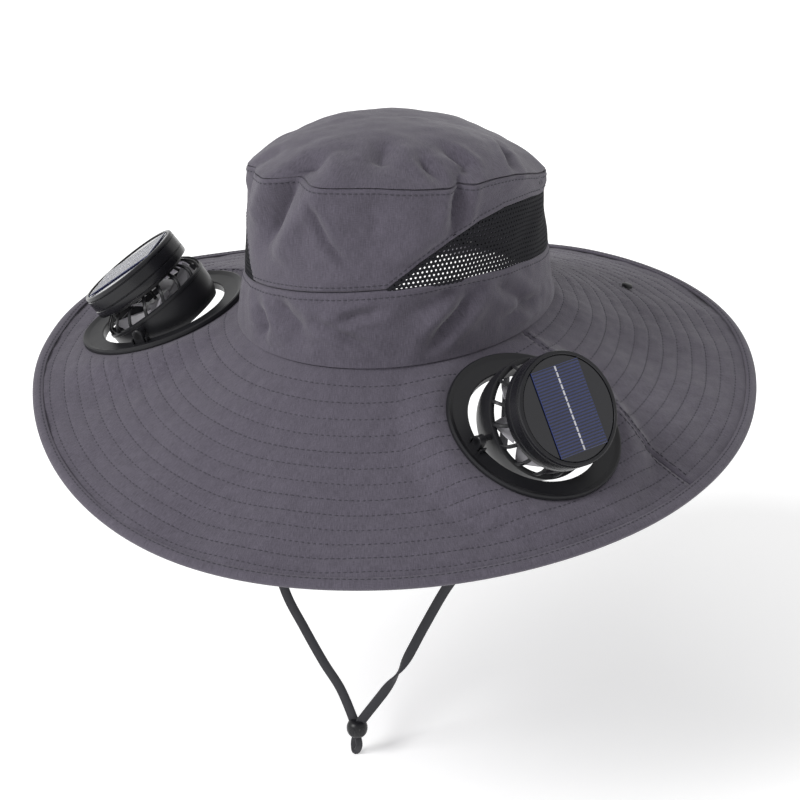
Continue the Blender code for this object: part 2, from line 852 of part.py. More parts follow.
def make_strap():
    """Two runs of the chin strap, the bead lock that grips them and the short loop under it."""
    spacing = 5 * STRAP_RADIUS
    tube("chin_strap_left", smooth_route(STRAP_LEFT_ROUTE, spacing), STRAP_RADIUS, black_webbing())
    tube("chin_strap_right", smooth_route(STRAP_RIGHT_ROUTE, spacing), STRAP_RADIUS, black_webbing())
    heights = (-0.94, -0.72, -0.3, 0.2, 0.62, 0.86)
    radii = (0.45, 0.74, 0.97, 1.0, 0.8, 0.5)
    profile = [(0.0, heights[0] * TOGGLE_RADIUS)]
    profile += [(r * TOGGLE_RADIUS, h * TOGGLE_RADIUS) for r, h in zip(radii, heights)]
    profile.append((0.0, heights[-1] * TOGGLE_RADIUS))
    toggle = turned_object("strap_toggle", profile, 14, black_plastic(), closed_ends=False)
    toggle.matrix_world = Matrix.Translation(TOGGLE_PLACE)
    x, y, z = TOGGLE_PLACE
    top = z + heights[0] * TOGGLE_RADIUS - GAP
    places = [Vector((x - 0.0005 * i, y, top - TAIL_LENGTH * i / 3)) for i in range(4)]
    tube("strap_tail", places, STRAP_RADIUS * 0.85, black_webbing())


def make_stud(seats):
    up = brim_normal(STUD_AZIMUTH, STUD_SHARE, seats)
    place = brim_point(STUD_AZIMUTH, STUD_SHARE, seats)
    radius = STUD_RADIUS
    profile = (
        (0.0, 0.0),
        (radius, 0.0),
        (radius, STUD_HEIGHT * 0.6),
        (radius * 0.7, STUD_HEIGHT),
        (0.0, STUD_HEIGHT),
    )
    stud = turned_object("brim_stud", profile, 12, black_plastic(), closed_ends=False)
    stand = up.to_track_quat("Z", "Y").to_matrix().to_4x4()
    stand.translation = place + up * 2 * GAP
    stud.matrix_world = stand


def main():
    clear_scene()
    seats = {"left": fan_seat(-1), "right": fan_seat(1)}
    flats = list(seats.values())
    make_tip()
    make_crown_panels()
    make_windows()
    make_band()
    make_brims(flats)
    make_binding(flats)
    make_fan("left", seats["left"], LEFT_TILT)
    make_fan("right", seats["right"], RIGHT_TILT)
    make_strap()
    make_stud(flats)


main()
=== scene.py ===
"""The looks of a grey sun hat with two solar fans in its brim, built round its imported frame."""

import math

import bmesh
import bpy
import numpy as np
from mathutils import Matrix, Vector


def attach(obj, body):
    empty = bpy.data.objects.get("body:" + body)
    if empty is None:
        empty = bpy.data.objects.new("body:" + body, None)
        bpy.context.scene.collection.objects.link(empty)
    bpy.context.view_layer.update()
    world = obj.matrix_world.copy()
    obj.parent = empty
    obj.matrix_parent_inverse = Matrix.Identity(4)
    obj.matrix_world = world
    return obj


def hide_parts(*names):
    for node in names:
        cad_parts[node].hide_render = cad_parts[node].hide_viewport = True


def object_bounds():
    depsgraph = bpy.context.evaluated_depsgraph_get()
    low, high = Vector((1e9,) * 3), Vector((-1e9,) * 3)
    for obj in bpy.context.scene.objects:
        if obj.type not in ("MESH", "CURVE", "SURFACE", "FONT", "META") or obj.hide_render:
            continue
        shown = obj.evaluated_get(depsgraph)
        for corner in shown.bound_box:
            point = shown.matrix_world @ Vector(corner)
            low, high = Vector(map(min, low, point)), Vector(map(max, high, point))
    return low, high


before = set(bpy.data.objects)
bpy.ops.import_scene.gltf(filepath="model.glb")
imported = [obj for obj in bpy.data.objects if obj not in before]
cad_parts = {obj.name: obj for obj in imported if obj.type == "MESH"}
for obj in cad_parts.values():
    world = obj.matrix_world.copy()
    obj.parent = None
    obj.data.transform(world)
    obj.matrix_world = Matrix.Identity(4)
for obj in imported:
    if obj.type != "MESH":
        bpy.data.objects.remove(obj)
cad_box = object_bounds()

# The photograph's view: the hat stands as a head holds it, seen from a little above and
# from between its front and its right fan.
VIEW_AZIMUTH = math.radians(33)
VIEW_ELEVATION = math.radians(22)
VIEW_DISTANCE = 1.6
AIM_RIGHT = 0.0012
AIM_DOWN = 0.0588
LENS = 122.4

camera = bpy.data.objects.new("camera", bpy.data.cameras.new("camera"))
bpy.context.scene.collection.objects.link(camera)
toward = Vector(
    (
        math.sin(VIEW_AZIMUTH) * math.cos(VIEW_ELEVATION),
        -math.cos(VIEW_AZIMUTH) * math.cos(VIEW_ELEVATION),
        math.sin(VIEW_ELEVATION),
    )
)
to_right = Vector((math.cos(VIEW_AZIMUTH), math.sin(VIEW_AZIMUTH), 0))
aim = AIM_RIGHT * to_right - AIM_DOWN * toward.cross(to_right)
camera.location = toward * VIEW_DISTANCE
camera.rotation_euler = (aim - camera.location).to_track_quat("-Z", "Y").to_euler()
camera.data.lens = LENS
camera.data.sensor_width = 36
camera.data.clip_start = 0.05
bpy.context.scene.camera = camera

# Crown tip: the oval top panel of purple-grey woven polyester, cut flat and sewn to the
# panels round it, so it domes loosely and keeps a few soft dents.
HEAD_WIDTH = 0.172
HEAD_LENGTH = 0.216
CLOTH = 0.0014
GAP = 0.0003
BAND_HEIGHT = 0.042
BAND_LEAN = 0.0045
TIP_HEIGHT = 0.088
TIP_INSET = 0.0085
DOME_RISE = 0.0285
DOME_POWER = 2.6
CROWN_CORE = np.array([0, 0, 0.045])
SECTION_COLUMNS = ("azimuth", "brim_reach", "brim_fall", "band", "tip")
SECTIONS = (
    (-180, 1.0, 19.5, 0.66, 0.78),
    (-150, 1.0, 22.5, 0.62, 0.80),
    (-120, 1.0, 18.8, 0.60, 0.86),
    (-90, 0.985, 14.8, 0.60, 0.95),
    (-60, 0.96, 18.5, 0.64, 1.02),
    (-30, 0.96, 29.0, 0.80, 1.10),
    (0, 0.99, 34.5, 0.95, 1.16),
    (30, 0.995, 34.7, 1.05, 1.16),
    (60, 1.0, 32.5, 1.06, 1.11),
    (90, 1.0, 31.0, 0.96, 1.05),
    (120, 1.0, 27.5, 0.74, 0.88),
    (150, 1.0, 21.0, 0.68, 0.80),
)
GREY_LIGHT = (0.104, 0.092, 0.122)
GREY_DARK = (0.046, 0.040, 0.056)
WEAVE_THREADS = 2700.0
# Soft unevenness of all the cloth: wide and fine waves, drawn from a fixed seed.
RIPPLE_WAVES = 9
WIDE_RIPPLE = 0.035
WIDE_RIPPLE_DEPTH = 0.0006
FINE_RIPPLE = 0.012
FINE_RIPPLE_DEPTH = 0.00018
CROWN_WAVES = 11
LEVEL_REACH = 0.010
# The folds that wearing and packing left: how wide and deep, and the points they run
# through as azimuth and level, where level 1 is the tip seam and 2 the middle of the top.
FOLD_COLUMNS = ("width", "depth", "route")
FOLD_STRENGTH = 1.9
FOLD_SHARPNESS = 1.4
RIDGE_SHARE = 0.35
RIDGE_AWAY = 2.1
RIDGE_SPREAD = 1.1
CROWN_FOLDS = (
    (0.0045, 0.0034, ((67, 1.08), (65, 1.0), (63, 0.86), (61, 0.72))),
    (0.0070, 0.0055, ((6, 1.22), (-3, 1.03), (-10, 0.90), (-17, 0.72), (-20, 0.60))),
    (0.0024, 0.0014, ((5, 0.92), (8, 0.84), (13, 0.70), (19, 0.60), (24, 0.56))),
    (0.0055, 0.0020, ((40, 0.46), (50, 0.56), (60, 0.70))),
    (0.0050, 0.0022, ((34, 1.42), (33, 1.26), (33, 1.18))),
    (0.0034, 0.0026, ((52, 1.24), (55, 1.12), (58, 1.02))),
    (0.0040, 0.0026, ((66, 1.30), (72, 1.14), (69, 1.05))),
    (0.0035, 0.0020, ((108, 1.26), (98, 1.12), (92, 1.02))),
    (0.0060, 0.0022, ((-30, 1.20), (-40, 0.95), (-46, 0.7))),
    (0.0090, -0.0022, ((-2, 1.32), (14, 1.10), (18, 1.0))),
    (0.0120, 0.0016, ((30, 0.98), (32, 0.80), (29, 0.66))),
    (0.0100, 0.0022, ((150, 1.3), (140, 0.9), (128, 0.6))),
    (0.0080, 0.0024, ((-120, 1.3), (-110, 0.95), (-100, 0.7))),
    (0.0100, 0.0020, ((-170, 1.4), (-160, 1.0), (-165, 0.7))),
)


def smooth(t):
    t = np.clip(t, 0, 1)
    return t * t * (3 - 2 * t)


def unit(vectors):
    return vectors / np.maximum(np.linalg.norm(vectors, axis=-1, keepdims=True), 1e-12)


def curve_between(a, b, c, d, t):
    """A smooth curve through points b and c at t from 0 to 1, with a and d beyond them."""
    bend = (2 * a - 5 * b + 4 * c - d) * t * t + (3 * b - a - 3 * c + d) * t**3
    return 0.5 * (2 * b + (c - a) * t + bend)


def run_of(line):
    """The length run at each point of a line."""
    return np.concatenate([[0], np.cumsum(np.linalg.norm(np.diff(line, axis=0), axis=-1))])


def section(column, azimuth):
    """A smooth periodic reading of one column of the sections at azimuths in degrees."""
    values = np.array([row[SECTION_COLUMNS.index(column)] for row in SECTIONS], float)
    at = (np.asarray(azimuth, float) - SECTIONS[0][0]) * len(SECTIONS) / 360.0
    first = np.floor(at).astype(int)
    t = at - first
    return curve_between(*(values[(first + k) % len(SECTIONS)] for k in (-1, 0, 1, 2)), t)


def oval(azimuth, out):
    """Points on the head oval, moved outwards along its normal."""
    t = np.radians(azimuth)
    normal = unit(np.stack([HEAD_LENGTH * np.sin(t), -HEAD_WIDTH * np.cos(t)], -1))
    round_head = np.stack([HEAD_WIDTH / 2 * np.sin(t), -HEAD_LENGTH / 2 * np.cos(t)], -1)
    return round_head + np.asarray(out)[..., None] * normal


def band_top(azimuth):
    return BAND_HEIGHT * section("band", azimuth)


def tip_seam(azimuth):
    return TIP_HEIGHT * section("tip", azimuth)


def wall_point(azimuth, height):
    """Points on the outside of the crown's wall."""
    azimuth, height = np.broadcast_arrays(np.asarray(azimuth, float), np.asarray(height, float))
    top = band_top(azimuth)
    above = (height - top) / (tip_seam(azimuth) - top)
    inset = np.where(
        height <= top, BAND_LEAN * height / top, BAND_LEAN + (TIP_INSET - BAND_LEAN) * above
    )
    return np.concatenate([oval(azimuth, -inset), height[..., None]], -1)


def dome_point(azimuth, share):
    """Points on the tip panel, from its middle at share 0 to its seam at share 1."""
    azimuth, share = np.broadcast_arrays(np.asarray(azimuth, float), np.asarray(share, float))
    middle = 0.5 * (tip_seam(0.0) + tip_seam(180.0))
    height = middle + (tip_seam(azimuth) - middle) * share + DOME_RISE * (1 - share**DOME_POWER)
    xy = oval(azimuth, np.full(azimuth.shape, -TIP_INSET)) * share[..., None]
    return np.concatenate([xy, height[..., None]], -1)


def crown_place(azimuth, level):
    if level <= 1:
        return wall_point(azimuth, level * tip_seam(azimuth))
    return dome_point(azimuth, 2 - level)


def fold_depth(points, folds, place):
    """How far the cloth sinks at each point: a dip along each fold with a low ridge beside it."""
    sunk = np.zeros(points.shape[:-1])
    for row in folds:
        fold = dict(zip(FOLD_COLUMNS, row))
        width = fold["width"]
        line = np.array([place(*spot) for spot in fold["route"]])
        nearest = np.full(points.shape[:-1], 1.0)
        ends = np.zeros(points.shape[:-1])
        for number, (a, b) in enumerate(zip(line, line[1:])):
            along = np.clip(((points - a) @ (b - a)) / ((b - a) @ (b - a)), 0, 1)
            away = np.linalg.norm(points - a - along[..., None] * (b - a), axis=-1)
            closer = away < nearest
            nearest = np.where(closer, away, nearest)
            ends = np.where(closer, (number + along) / (len(line) - 1), ends)
        fade = 0.25 + 0.75 * np.clip(4 * ends, 0, 1) * np.clip(4 * (1 - ends), 0, 1)
        dip = np.exp(-((nearest / width) ** FOLD_SHARPNESS))
        beside = (nearest - RIDGE_AWAY * width) / (RIDGE_SPREAD * width)
        sunk += fold["depth"] * fade * (dip - RIDGE_SHARE * np.exp(-(beside**2)))
    return sunk


def ripple(points, wavelength, amount, seed):
    """Soft unevenness: a few plane waves of about one wavelength, in fixed random directions."""
    draw = np.random.default_rng(seed)
    total = np.zeros(points.shape[:-1])
    for _ in range(RIPPLE_WAVES):
        way = draw.normal(size=3)
        way *= 2 * math.pi / (wavelength * draw.uniform(0.7, 1.5) * np.linalg.norm(way))
        total += np.sin(points @ way + draw.uniform(0, 2 * math.pi))
    return amount * total / math.sqrt(RIPPLE_WAVES)


def grid_normals(face, closed):
    """Unit normals of a grid of points, from the run of its columns and of its rows."""
    if closed:
        across = np.roll(face, -1, 1) - np.roll(face, 1, 1)
    else:
        across = np.gradient(face, axis=1)
    return unit(np.cross(across, np.gradient(face, axis=0)))


def faces_in(face, closed, core):
    """Whether the grid's normals point towards a core point."""
    return ((face - core) * grid_normals(face, closed)).sum() < 0


def outward(face, closed, core):
    """The grid, turned if need be so that its normals point away from a core point."""
    return face[:, ::-1] if faces_in(face, closed, core) else face


def link(name, points, faces, look, uv=None, sharp=45):
    """A smooth-shaded mesh object from points and faces, with cloth coordinates if given."""
    mesh = bpy.data.meshes.new(name)
    mesh.from_pydata([tuple(p) for p in points], [], [tuple(f) for f in faces])
    if uv is not None:
        layer = mesh.uv_layers.new(name="cloth")
        layer.data.foreach_set("uv", np.concatenate([uv[list(f)] for f in faces]).ravel())
    mesh.shade_smooth()
    mesh.set_sharp_from_angle(angle=math.radians(sharp))
    mesh.materials.append(look)
    made = bpy.data.objects.new(name, mesh)
    bpy.context.scene.collection.objects.link(made)
    return made


def cloth_wall(name, face, look, closed=False, keep=None):
    """A wall of cloth under a grid of outside points. It is closed round every edge, and
    also round a hole, where keep says which of the grid's squares stay."""
    rows, columns = face.shape[:2]
    inside = face - CLOTH * grid_normals(face, closed)
    across = columns if closed else columns - 1
    if keep is None:
        keep = np.ones((rows - 1, across), bool)
    half = rows * columns
    spot = np.arange(half).reshape(rows, columns)
    if closed:
        spot = np.concatenate([spot, spot[:, :1]], 1)
    corners = np.stack([spot[:-1, :-1], spot[:-1, 1:], spot[1:, 1:], spot[1:, :-1]], -1)
    faces = [corners[keep], corners[keep][:, ::-1] + half]
    framed = np.pad(keep, 1)
    if closed:
        framed[1:-1, 0] = keep[:, -1]
        framed[1:-1, -1] = keep[:, 0]
    sides = ((0, 1, -1, 0), (1, 2, 0, 1), (2, 3, 1, 0), (3, 0, 0, -1))
    for first, second, down, right in sides:
        beside = framed[1 + down : 1 + down + rows - 1, 1 + right : 1 + right + across]
        edge = corners[keep & ~beside]
        a, b = edge[:, first], edge[:, second]
        faces.append(np.stack([b, a, a + half, b + half], -1))
    faces = np.concatenate(faces)
    steps = [np.linalg.norm(np.diff(face, axis=k), axis=-1).mean(1 - k) for k in (1, 0)]
    runs = [np.concatenate([[0], np.cumsum(part)]) for part in steps]
    flat = np.stack(np.meshgrid(*runs), -1).reshape(-1, 2)
    uv = np.concatenate([flat, flat])
    points = np.concatenate([face.reshape(-1, 3), inside.reshape(-1, 3)])
    used = np.unique(faces)
    fresh = np.full(len(points), -1)
    fresh[used] = np.arange(len(used))
    return link(name, points[used], fresh[faces], look, uv[used])


class Value:
    """A shader socket that takes part in sums: an expression on it adds its Math nodes."""

    def __init__(self, tree, socket):
        self.tree = tree
        self.socket = socket

    def work(self, operation, first, second):
        node = self.tree.nodes.new("ShaderNodeMath")
        node.operation = operation
        for place, value in zip(node.inputs, (first, second)):
            if isinstance(value, Value):
                self.tree.links.new(value.socket, place)
            else:
                place.default_value = value
        return Value(self.tree, node.outputs[0])

    def __add__(self, other):
        return self.work("ADD", self, other)

    def __radd__(self, other):
        return self.work("ADD", other, self)

    def __sub__(self, other):
        return self.work("SUBTRACT", self, other)

    def __rsub__(self, other):
        return self.work("SUBTRACT", other, self)

    def __mul__(self, other):
        return self.work("MULTIPLY", self, other)

    def __rmul__(self, other):
        return self.work("MULTIPLY", other, self)


class Finish:
    """A Principled material in the making, with its nodes by one method."""

    def __init__(self, name, color, roughness, **constants):
        self.material = bpy.data.materials.new(name)
        self.material.use_nodes = True
        self.tree = self.material.node_tree
        self.shader = self.tree.nodes["Principled BSDF"]
        self.shader.inputs["Base Color"].default_value = (*color, 1)
        self.shader.inputs["Roughness"].default_value = roughness
        for socket, value in constants.items():
            self.shader.inputs[socket.replace("_", " ")].default_value = value

    def node(self, kind, settings, values, output):
        node = self.tree.nodes.new(kind)
        for name, value in settings.items():
            setattr(node, name, value)
        for name, value in values.items():
            if isinstance(value, Value):
                self.tree.links.new(value.socket, node.inputs[name])
            else:
                node.inputs[name].default_value = value
        return Value(self.tree, node.outputs[output])

    def spread(self, place, stretch, size, detail=2.0):
        """Noise over a place, stretched by a factor on each axis."""
        stretched = self.node(
            "ShaderNodeVectorMath", {"operation": "MULTIPLY"}, {0: place, 1: stretch}, 0
        )
        values = {"Vector": stretched, "Scale": size, "Detail": detail}
        return self.node("ShaderNodeTexNoise", {}, values, 0)

    def blend(self, factor, first, second):
        values = {0: factor, 6: (*first, 1), 7: (*second, 1)}
        return self.node("ShaderNodeMix", {"data_type": "RGBA"}, values, 2)

    def feed(self, socket, value):
        self.tree.links.new(value.socket, self.shader.inputs[socket])

    def bump(self, height, strength, distance):
        values = {"Height": height, "Strength": strength, "Distance": distance}
        self.feed("Normal", self.node("ShaderNodeBump", {}, values, 0))


def woven(name, light, dark):
    """Plain weave: uneven threads both ways, a mottled dye and a bump of crossing yarns."""
    finish = Finish(name, light, 0.86, Sheen_Weight=0.18, Sheen_Roughness=0.5)
    place = finish.node("ShaderNodeUVMap", {"uv_map": "cloth"}, {}, 0)
    warp = finish.spread(place, (1.0, 0.09, 1.0), WEAVE_THREADS)
    weft = finish.spread(place, (0.16, 1.0, 1.0), WEAVE_THREADS)
    mottle = finish.spread(place, (1.0, 1.0, 1.0), 110.0, 4.0)
    tone = warp * 1.5 + weft * 0.9 + mottle * 0.5 - 0.95
    finish.feed("Base Color", finish.blend(tone, dark, light))
    finish.bump(warp + weft + mottle * 0.4, 0.42, 0.0005)
    return finish.material


def azimuth_of(points):
    """The azimuth in degrees of points round the head oval."""
    return np.degrees(np.arctan2(points[..., 0] / HEAD_WIDTH, -points[..., 1] / HEAD_LENGTH))


def creased(face, closed, waves=CROWN_WAVES, folds=CROWN_FOLDS, calm=1.0, place=crown_place):
    """The grid with its folds and its soft unevenness, held still where calm is 0. The cloth
    moves level near the tip seam, so that the pieces on both sides of it stay together."""
    face = outward(face, closed, CROWN_CORE)
    sink = FOLD_STRENGTH * fold_depth(face, folds, place)
    sink = sink + ripple(face, WIDE_RIPPLE, WIDE_RIPPLE_DEPTH, waves)
    sink = sink + ripple(face, FINE_RIPPLE, FINE_RIPPLE_DEPTH, waves + 1)
    level = unit(face * np.array([1.0, 1.0, 0.0]))
    from_seam = np.abs(face[..., 2] - tip_seam(azimuth_of(level)))
    near = 1 - smooth((from_seam - 0.001) / LEVEL_REACH)
    way = near[..., None] * level + (1 - near[..., None]) * grid_normals(face, closed)
    return face - (sink * calm)[..., None] * way


grey_cloth = woven("grey cloth", GREY_LIGHT, GREY_DARK)
DOME_AZIMUTHS = np.arange(-180, 180, 1.0)
# The seam's allowance turns down behind the edge of the panels round it.
ALLOWANCE = 0.0035
ALLOWANCE_IN = 0.0017
DOME_SHARES = np.concatenate([[1.0, 1.0, 0.992, 0.984], np.linspace(0.972, 0.015, 64)])
tip_grid = dome_point(DOME_AZIMUTHS[None, :], DOME_SHARES[:, None])
tip_grid = creased(tip_grid, True)
tip_grid[:2] -= ALLOWANCE_IN * unit(tip_grid[1] * np.array([1, 1, 0]))
tip_grid[0, :, 2] -= ALLOWANCE
crown_tip = cloth_wall("crown_tip_cloth", tip_grid, grey_cloth, closed=True)
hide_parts("crown_tip")
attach(crown_tip, "hat")

# The small closed round at the very middle of the tip panel, of the same cloth.
middle_shares = np.linspace(0.0149, 0.001, 3)
middle_grid = dome_point(DOME_AZIMUTHS[None, ::6], middle_shares[:, None])
middle_grid = creased(middle_grid, True)
tip_middle = cloth_wall("crown_tip_middle", middle_grid, grey_cloth, closed=True)
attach(tip_middle, "hat")

# Crown front and back panels: the same cloth, cut away over the ears for the net windows
# and sewn together behind them. Their lower edge is turned and stitched to the band.
WINDOW_HEIGHT = 0.036
SIDE_SEAM_AZIMUTH = 114.0
# The windows' upper edges, by azimuth and share of the height. The left one opens further
# forward, as the crown is pushed round a little.
LEFT_WINDOW = (
    (28, 0.0),
    (36, 0.42),
    (44, 0.72),
    (56, 0.90),
    (72, 0.97),
    (102, 1.0),
    (120, 0.96),
    (138, 0.78),
    (150, 0.38),
    (156, 0.0),
)
RIGHT_WINDOW = (
    (36, 0.0),
    (48, 0.36),
    (60, 0.64),
    (72, 0.86),
    (84, 0.97),
    (102, 1.0),
    (120, 0.96),
    (138, 0.78),
    (150, 0.38),
    (156, 0.0),
)
PANEL_ROWS = 52
EDGE_TURN = 0.0009
FOOT_HOLD = 0.007
LAP_TURN = 1.6


def window_rise(azimuth):
    left = np.interp(-azimuth, *zip(*LEFT_WINDOW))
    right = np.interp(azimuth, *zip(*RIGHT_WINDOW))
    return WINDOW_HEIGHT * np.where(azimuth < 0, left, right)


def turned_edges(rows):
    """Shares from 0 to 1 with close rows at both ends, and how far each row is tucked in."""
    shares = np.concatenate([[0, 0.012], np.linspace(0.028, 0.972, rows - 4), [0.988, 1]])
    tuck = np.zeros(rows)
    tuck[[0, -1]] = 1.0
    tuck[[1, -2]] = 0.35
    return shares, tuck * EDGE_TURN


def wrapped(azimuths):
    return (azimuths + 180) % 360 - 180


def panel_wall(azimuths, heights):
    """The creased wall at these heights. It moves freely but for its foot, which the next
    piece holds."""
    low = band_top(azimuths) + GAP + window_rise(azimuths)
    calm = smooth((heights - low) / FOOT_HOLD)
    face = wall_point(azimuths[None, :], heights)
    if faces_in(face, False, CROWN_CORE):
        face, calm = face[:, ::-1], calm[:, ::-1]
    return creased(face, False, calm=calm)


def crown_panel(name, azimuths):
    turned = wrapped(azimuths)
    low = band_top(turned) + GAP + window_rise(turned)
    high = tip_seam(turned) - GAP
    shares, tuck = turned_edges(PANEL_ROWS)
    heights = low + (high - low) * shares[:, None]
    heights = np.concatenate([heights[:1] - ALLOWANCE, heights])
    tuck = np.concatenate([[ALLOWANCE_IN], tuck])
    tuck[1] = ALLOWANCE_IN
    face = panel_wall(turned, heights)
    face -= tuck[:, None, None] * grid_normals(face, False)
    lap = np.zeros(len(azimuths))
    if name == "crown_back_panel":
        lap[[0, 1, -2, -1]] = ALLOWANCE_IN
    face -= lap[None, :, None] * grid_normals(face, False)
    panel = cloth_wall(f"{name}_cloth", face, grey_cloth)
    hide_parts(name)
    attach(panel, "hat")


SEAM_SLIT = math.degrees(GAP / HEAD_WIDTH)
front_reach = SIDE_SEAM_AZIMUTH - SEAM_SLIT
back_start = SIDE_SEAM_AZIMUTH + SEAM_SLIT
crown_panel("crown_front_panel", np.linspace(-front_reach, front_reach, 321))
# The back panel's sides are lapped behind the front panel's.
lapped = [back_start - LAP_TURN, back_start - 0.1]
back_azimuths = np.linspace(back_start + 0.1, 359.9 - back_start, 181)
back_azimuths = np.concatenate([lapped, back_azimuths, 360 - np.array(lapped[::-1])])
crown_panel("crown_back_panel", back_azimuths)

# Stitching of the crown: rows of grey thread beside the tip seam, round the windows, down
# the side seams and along the top of the band. Each stitch is a short raised bar.
THREAD_DARK = (0.022, 0.020, 0.029)
THREAD_LIGHT = (0.048, 0.044, 0.06)
STITCH_PITCH = 0.0033
STITCH_LENGTH = 0.0025
STITCH_HALF = 0.00032
UNDER_TIP = 0.0028
OVER_FOOT = 0.0032
SEAM_ROW_TURN = 1.6
SEAM_ROW_END = 0.004
thread = Finish("grey thread", THREAD_LIGHT, 0.7)
twist = thread.node("ShaderNodeTexCoord", {}, {}, "Object")
plied = thread.spread(twist, (1.0, 1.0, 1.0), 2600.0)
thread.feed("Base Color", thread.blend(plied, THREAD_DARK, THREAD_LIGHT))
thread.bump(plied, 0.3, 0.0002)
STITCH_SHAPE = np.array(
    [
        (end * reach, side * width, up)
        for end, reach, width, lift in ((-1, 1, 0.6, 0.0), (0, 1, 1.0, 0.9), (1, 1, 0.6, 0.0))
        for side, up in ((-1, lift - 1.0), (1, lift - 1.0), (1, lift), (-1, lift))
    ]
)
STITCH_FACES = [(0, 1, 2, 3), (11, 10, 9, 8)]
for ring in (0, 4):
    STITCH_FACES += [
        (ring + k, ring + 4 + k, ring + 4 + (k + 1) % 4, ring + (k + 1) % 4) for k in range(4)
    ]


def at_run(wanted, run, line):
    """The points of a line at the wanted lengths along it."""
    return np.stack([np.interp(wanted, run, line[:, k]) for k in range(3)], -1)


def square_to(way, up):
    """The unit vectors nearest to up that are square to a way."""
    return unit(up - (up * way).sum(-1, keepdims=True) * way)


def stitch_row(face_points, face_normals, skip=None):
    """Points of the stitches along a line of points that have the cloth's normals."""
    run = run_of(face_points)
    middles = np.arange(STITCH_PITCH / 2, run[-1] - STITCH_PITCH / 2, STITCH_PITCH)
    place = at_run(middles, run, face_points)
    ahead, behind = (at_run(middles + step, run, face_points) for step in (0.001, -0.001))
    way = unit(ahead - behind)
    up = square_to(way, at_run(middles, run, face_normals))
    side = np.cross(up, way)
    if skip is not None:
        stay = ~skip(place)
        place, way, up, side = place[stay], way[stay], up[stay], side[stay]
    sizes = (STITCH_LENGTH / 2, STITCH_HALF, STITCH_HALF)
    spots = place[:, None, :]
    for axis, size, column in zip((way, side, up), sizes, STITCH_SHAPE.T):
        spots = spots + axis[:, None, :] * (column * size)[None, :, None]
    return spots


def sew(name, rows):
    """One object for rows of stitches."""
    spots = np.concatenate(rows)
    faces = (np.arange(len(spots)) * 12)[:, None, None] + np.array(STITCH_FACES)[None]
    sewn = link(name, spots.reshape(-1, 3), faces.reshape(-1, 4), thread.material, sharp=80)
    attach(sewn, "hat")


def middle_row(strip, skip=None):
    """Stitches along the middle line of a strip of three."""
    return stitch_row(strip[1], grid_normals(strip, False)[1], skip)


crown_rows = []
for first, last, count in ((-front_reach, front_reach, 500), (back_start, 360 - back_start, 300)):
    turned = wrapped(np.linspace(first + 1, last - 1, count))
    under_tip = tip_seam(turned) - UNDER_TIP
    over_foot = band_top(turned) + window_rise(turned) + OVER_FOOT
    for heights in (under_tip, over_foot):
        beside = np.array([[-0.002], [0.0], [0.002]])
        crown_rows.append(middle_row(panel_wall(turned, heights[None, :] + beside)))
for side in (-1, 1):
    for offset in (-SEAM_ROW_TURN, SEAM_ROW_TURN):
        azimuth = side * (SIDE_SEAM_AZIMUTH + offset)
        low = band_top(azimuth) + window_rise(azimuth) + SEAM_ROW_END
        line = np.linspace(low, tip_seam(azimuth) - SEAM_ROW_END, 40)
        strip = wall_point(azimuth + np.array([[-0.5], [0.0], [0.5]]), line[None, :])
        crown_rows.append(middle_row(creased(strip, False)))
sew("crown_stitches", crown_rows)

# Net windows: black knitted net with small holes, sewn in behind the panels' cut-away
# edges, so air passes and the inside of the crown shows through.
NET_BLACK = (0.006, 0.006, 0.008)
NET_WORN = (0.022, 0.022, 0.026)
NET_PITCH = 0.0029
NET_HOLE = 0.43
NET_DEEP = 0.0007
NET_SINK = 0.0005
NET_LAP = 0.0016
black_net = Finish("black net", NET_BLACK, 0.8, Specular_IOR_Level=0.15)
net_place = black_net.node("ShaderNodeTexCoord", {}, {}, "Object")
knit = black_net.spread(net_place, (1.0, 1.0, 1.0), 1800.0)
black_net.feed("Base Color", black_net.blend(knit, NET_BLACK, NET_WORN))
black_net.bump(knit, 0.5, 0.0003)


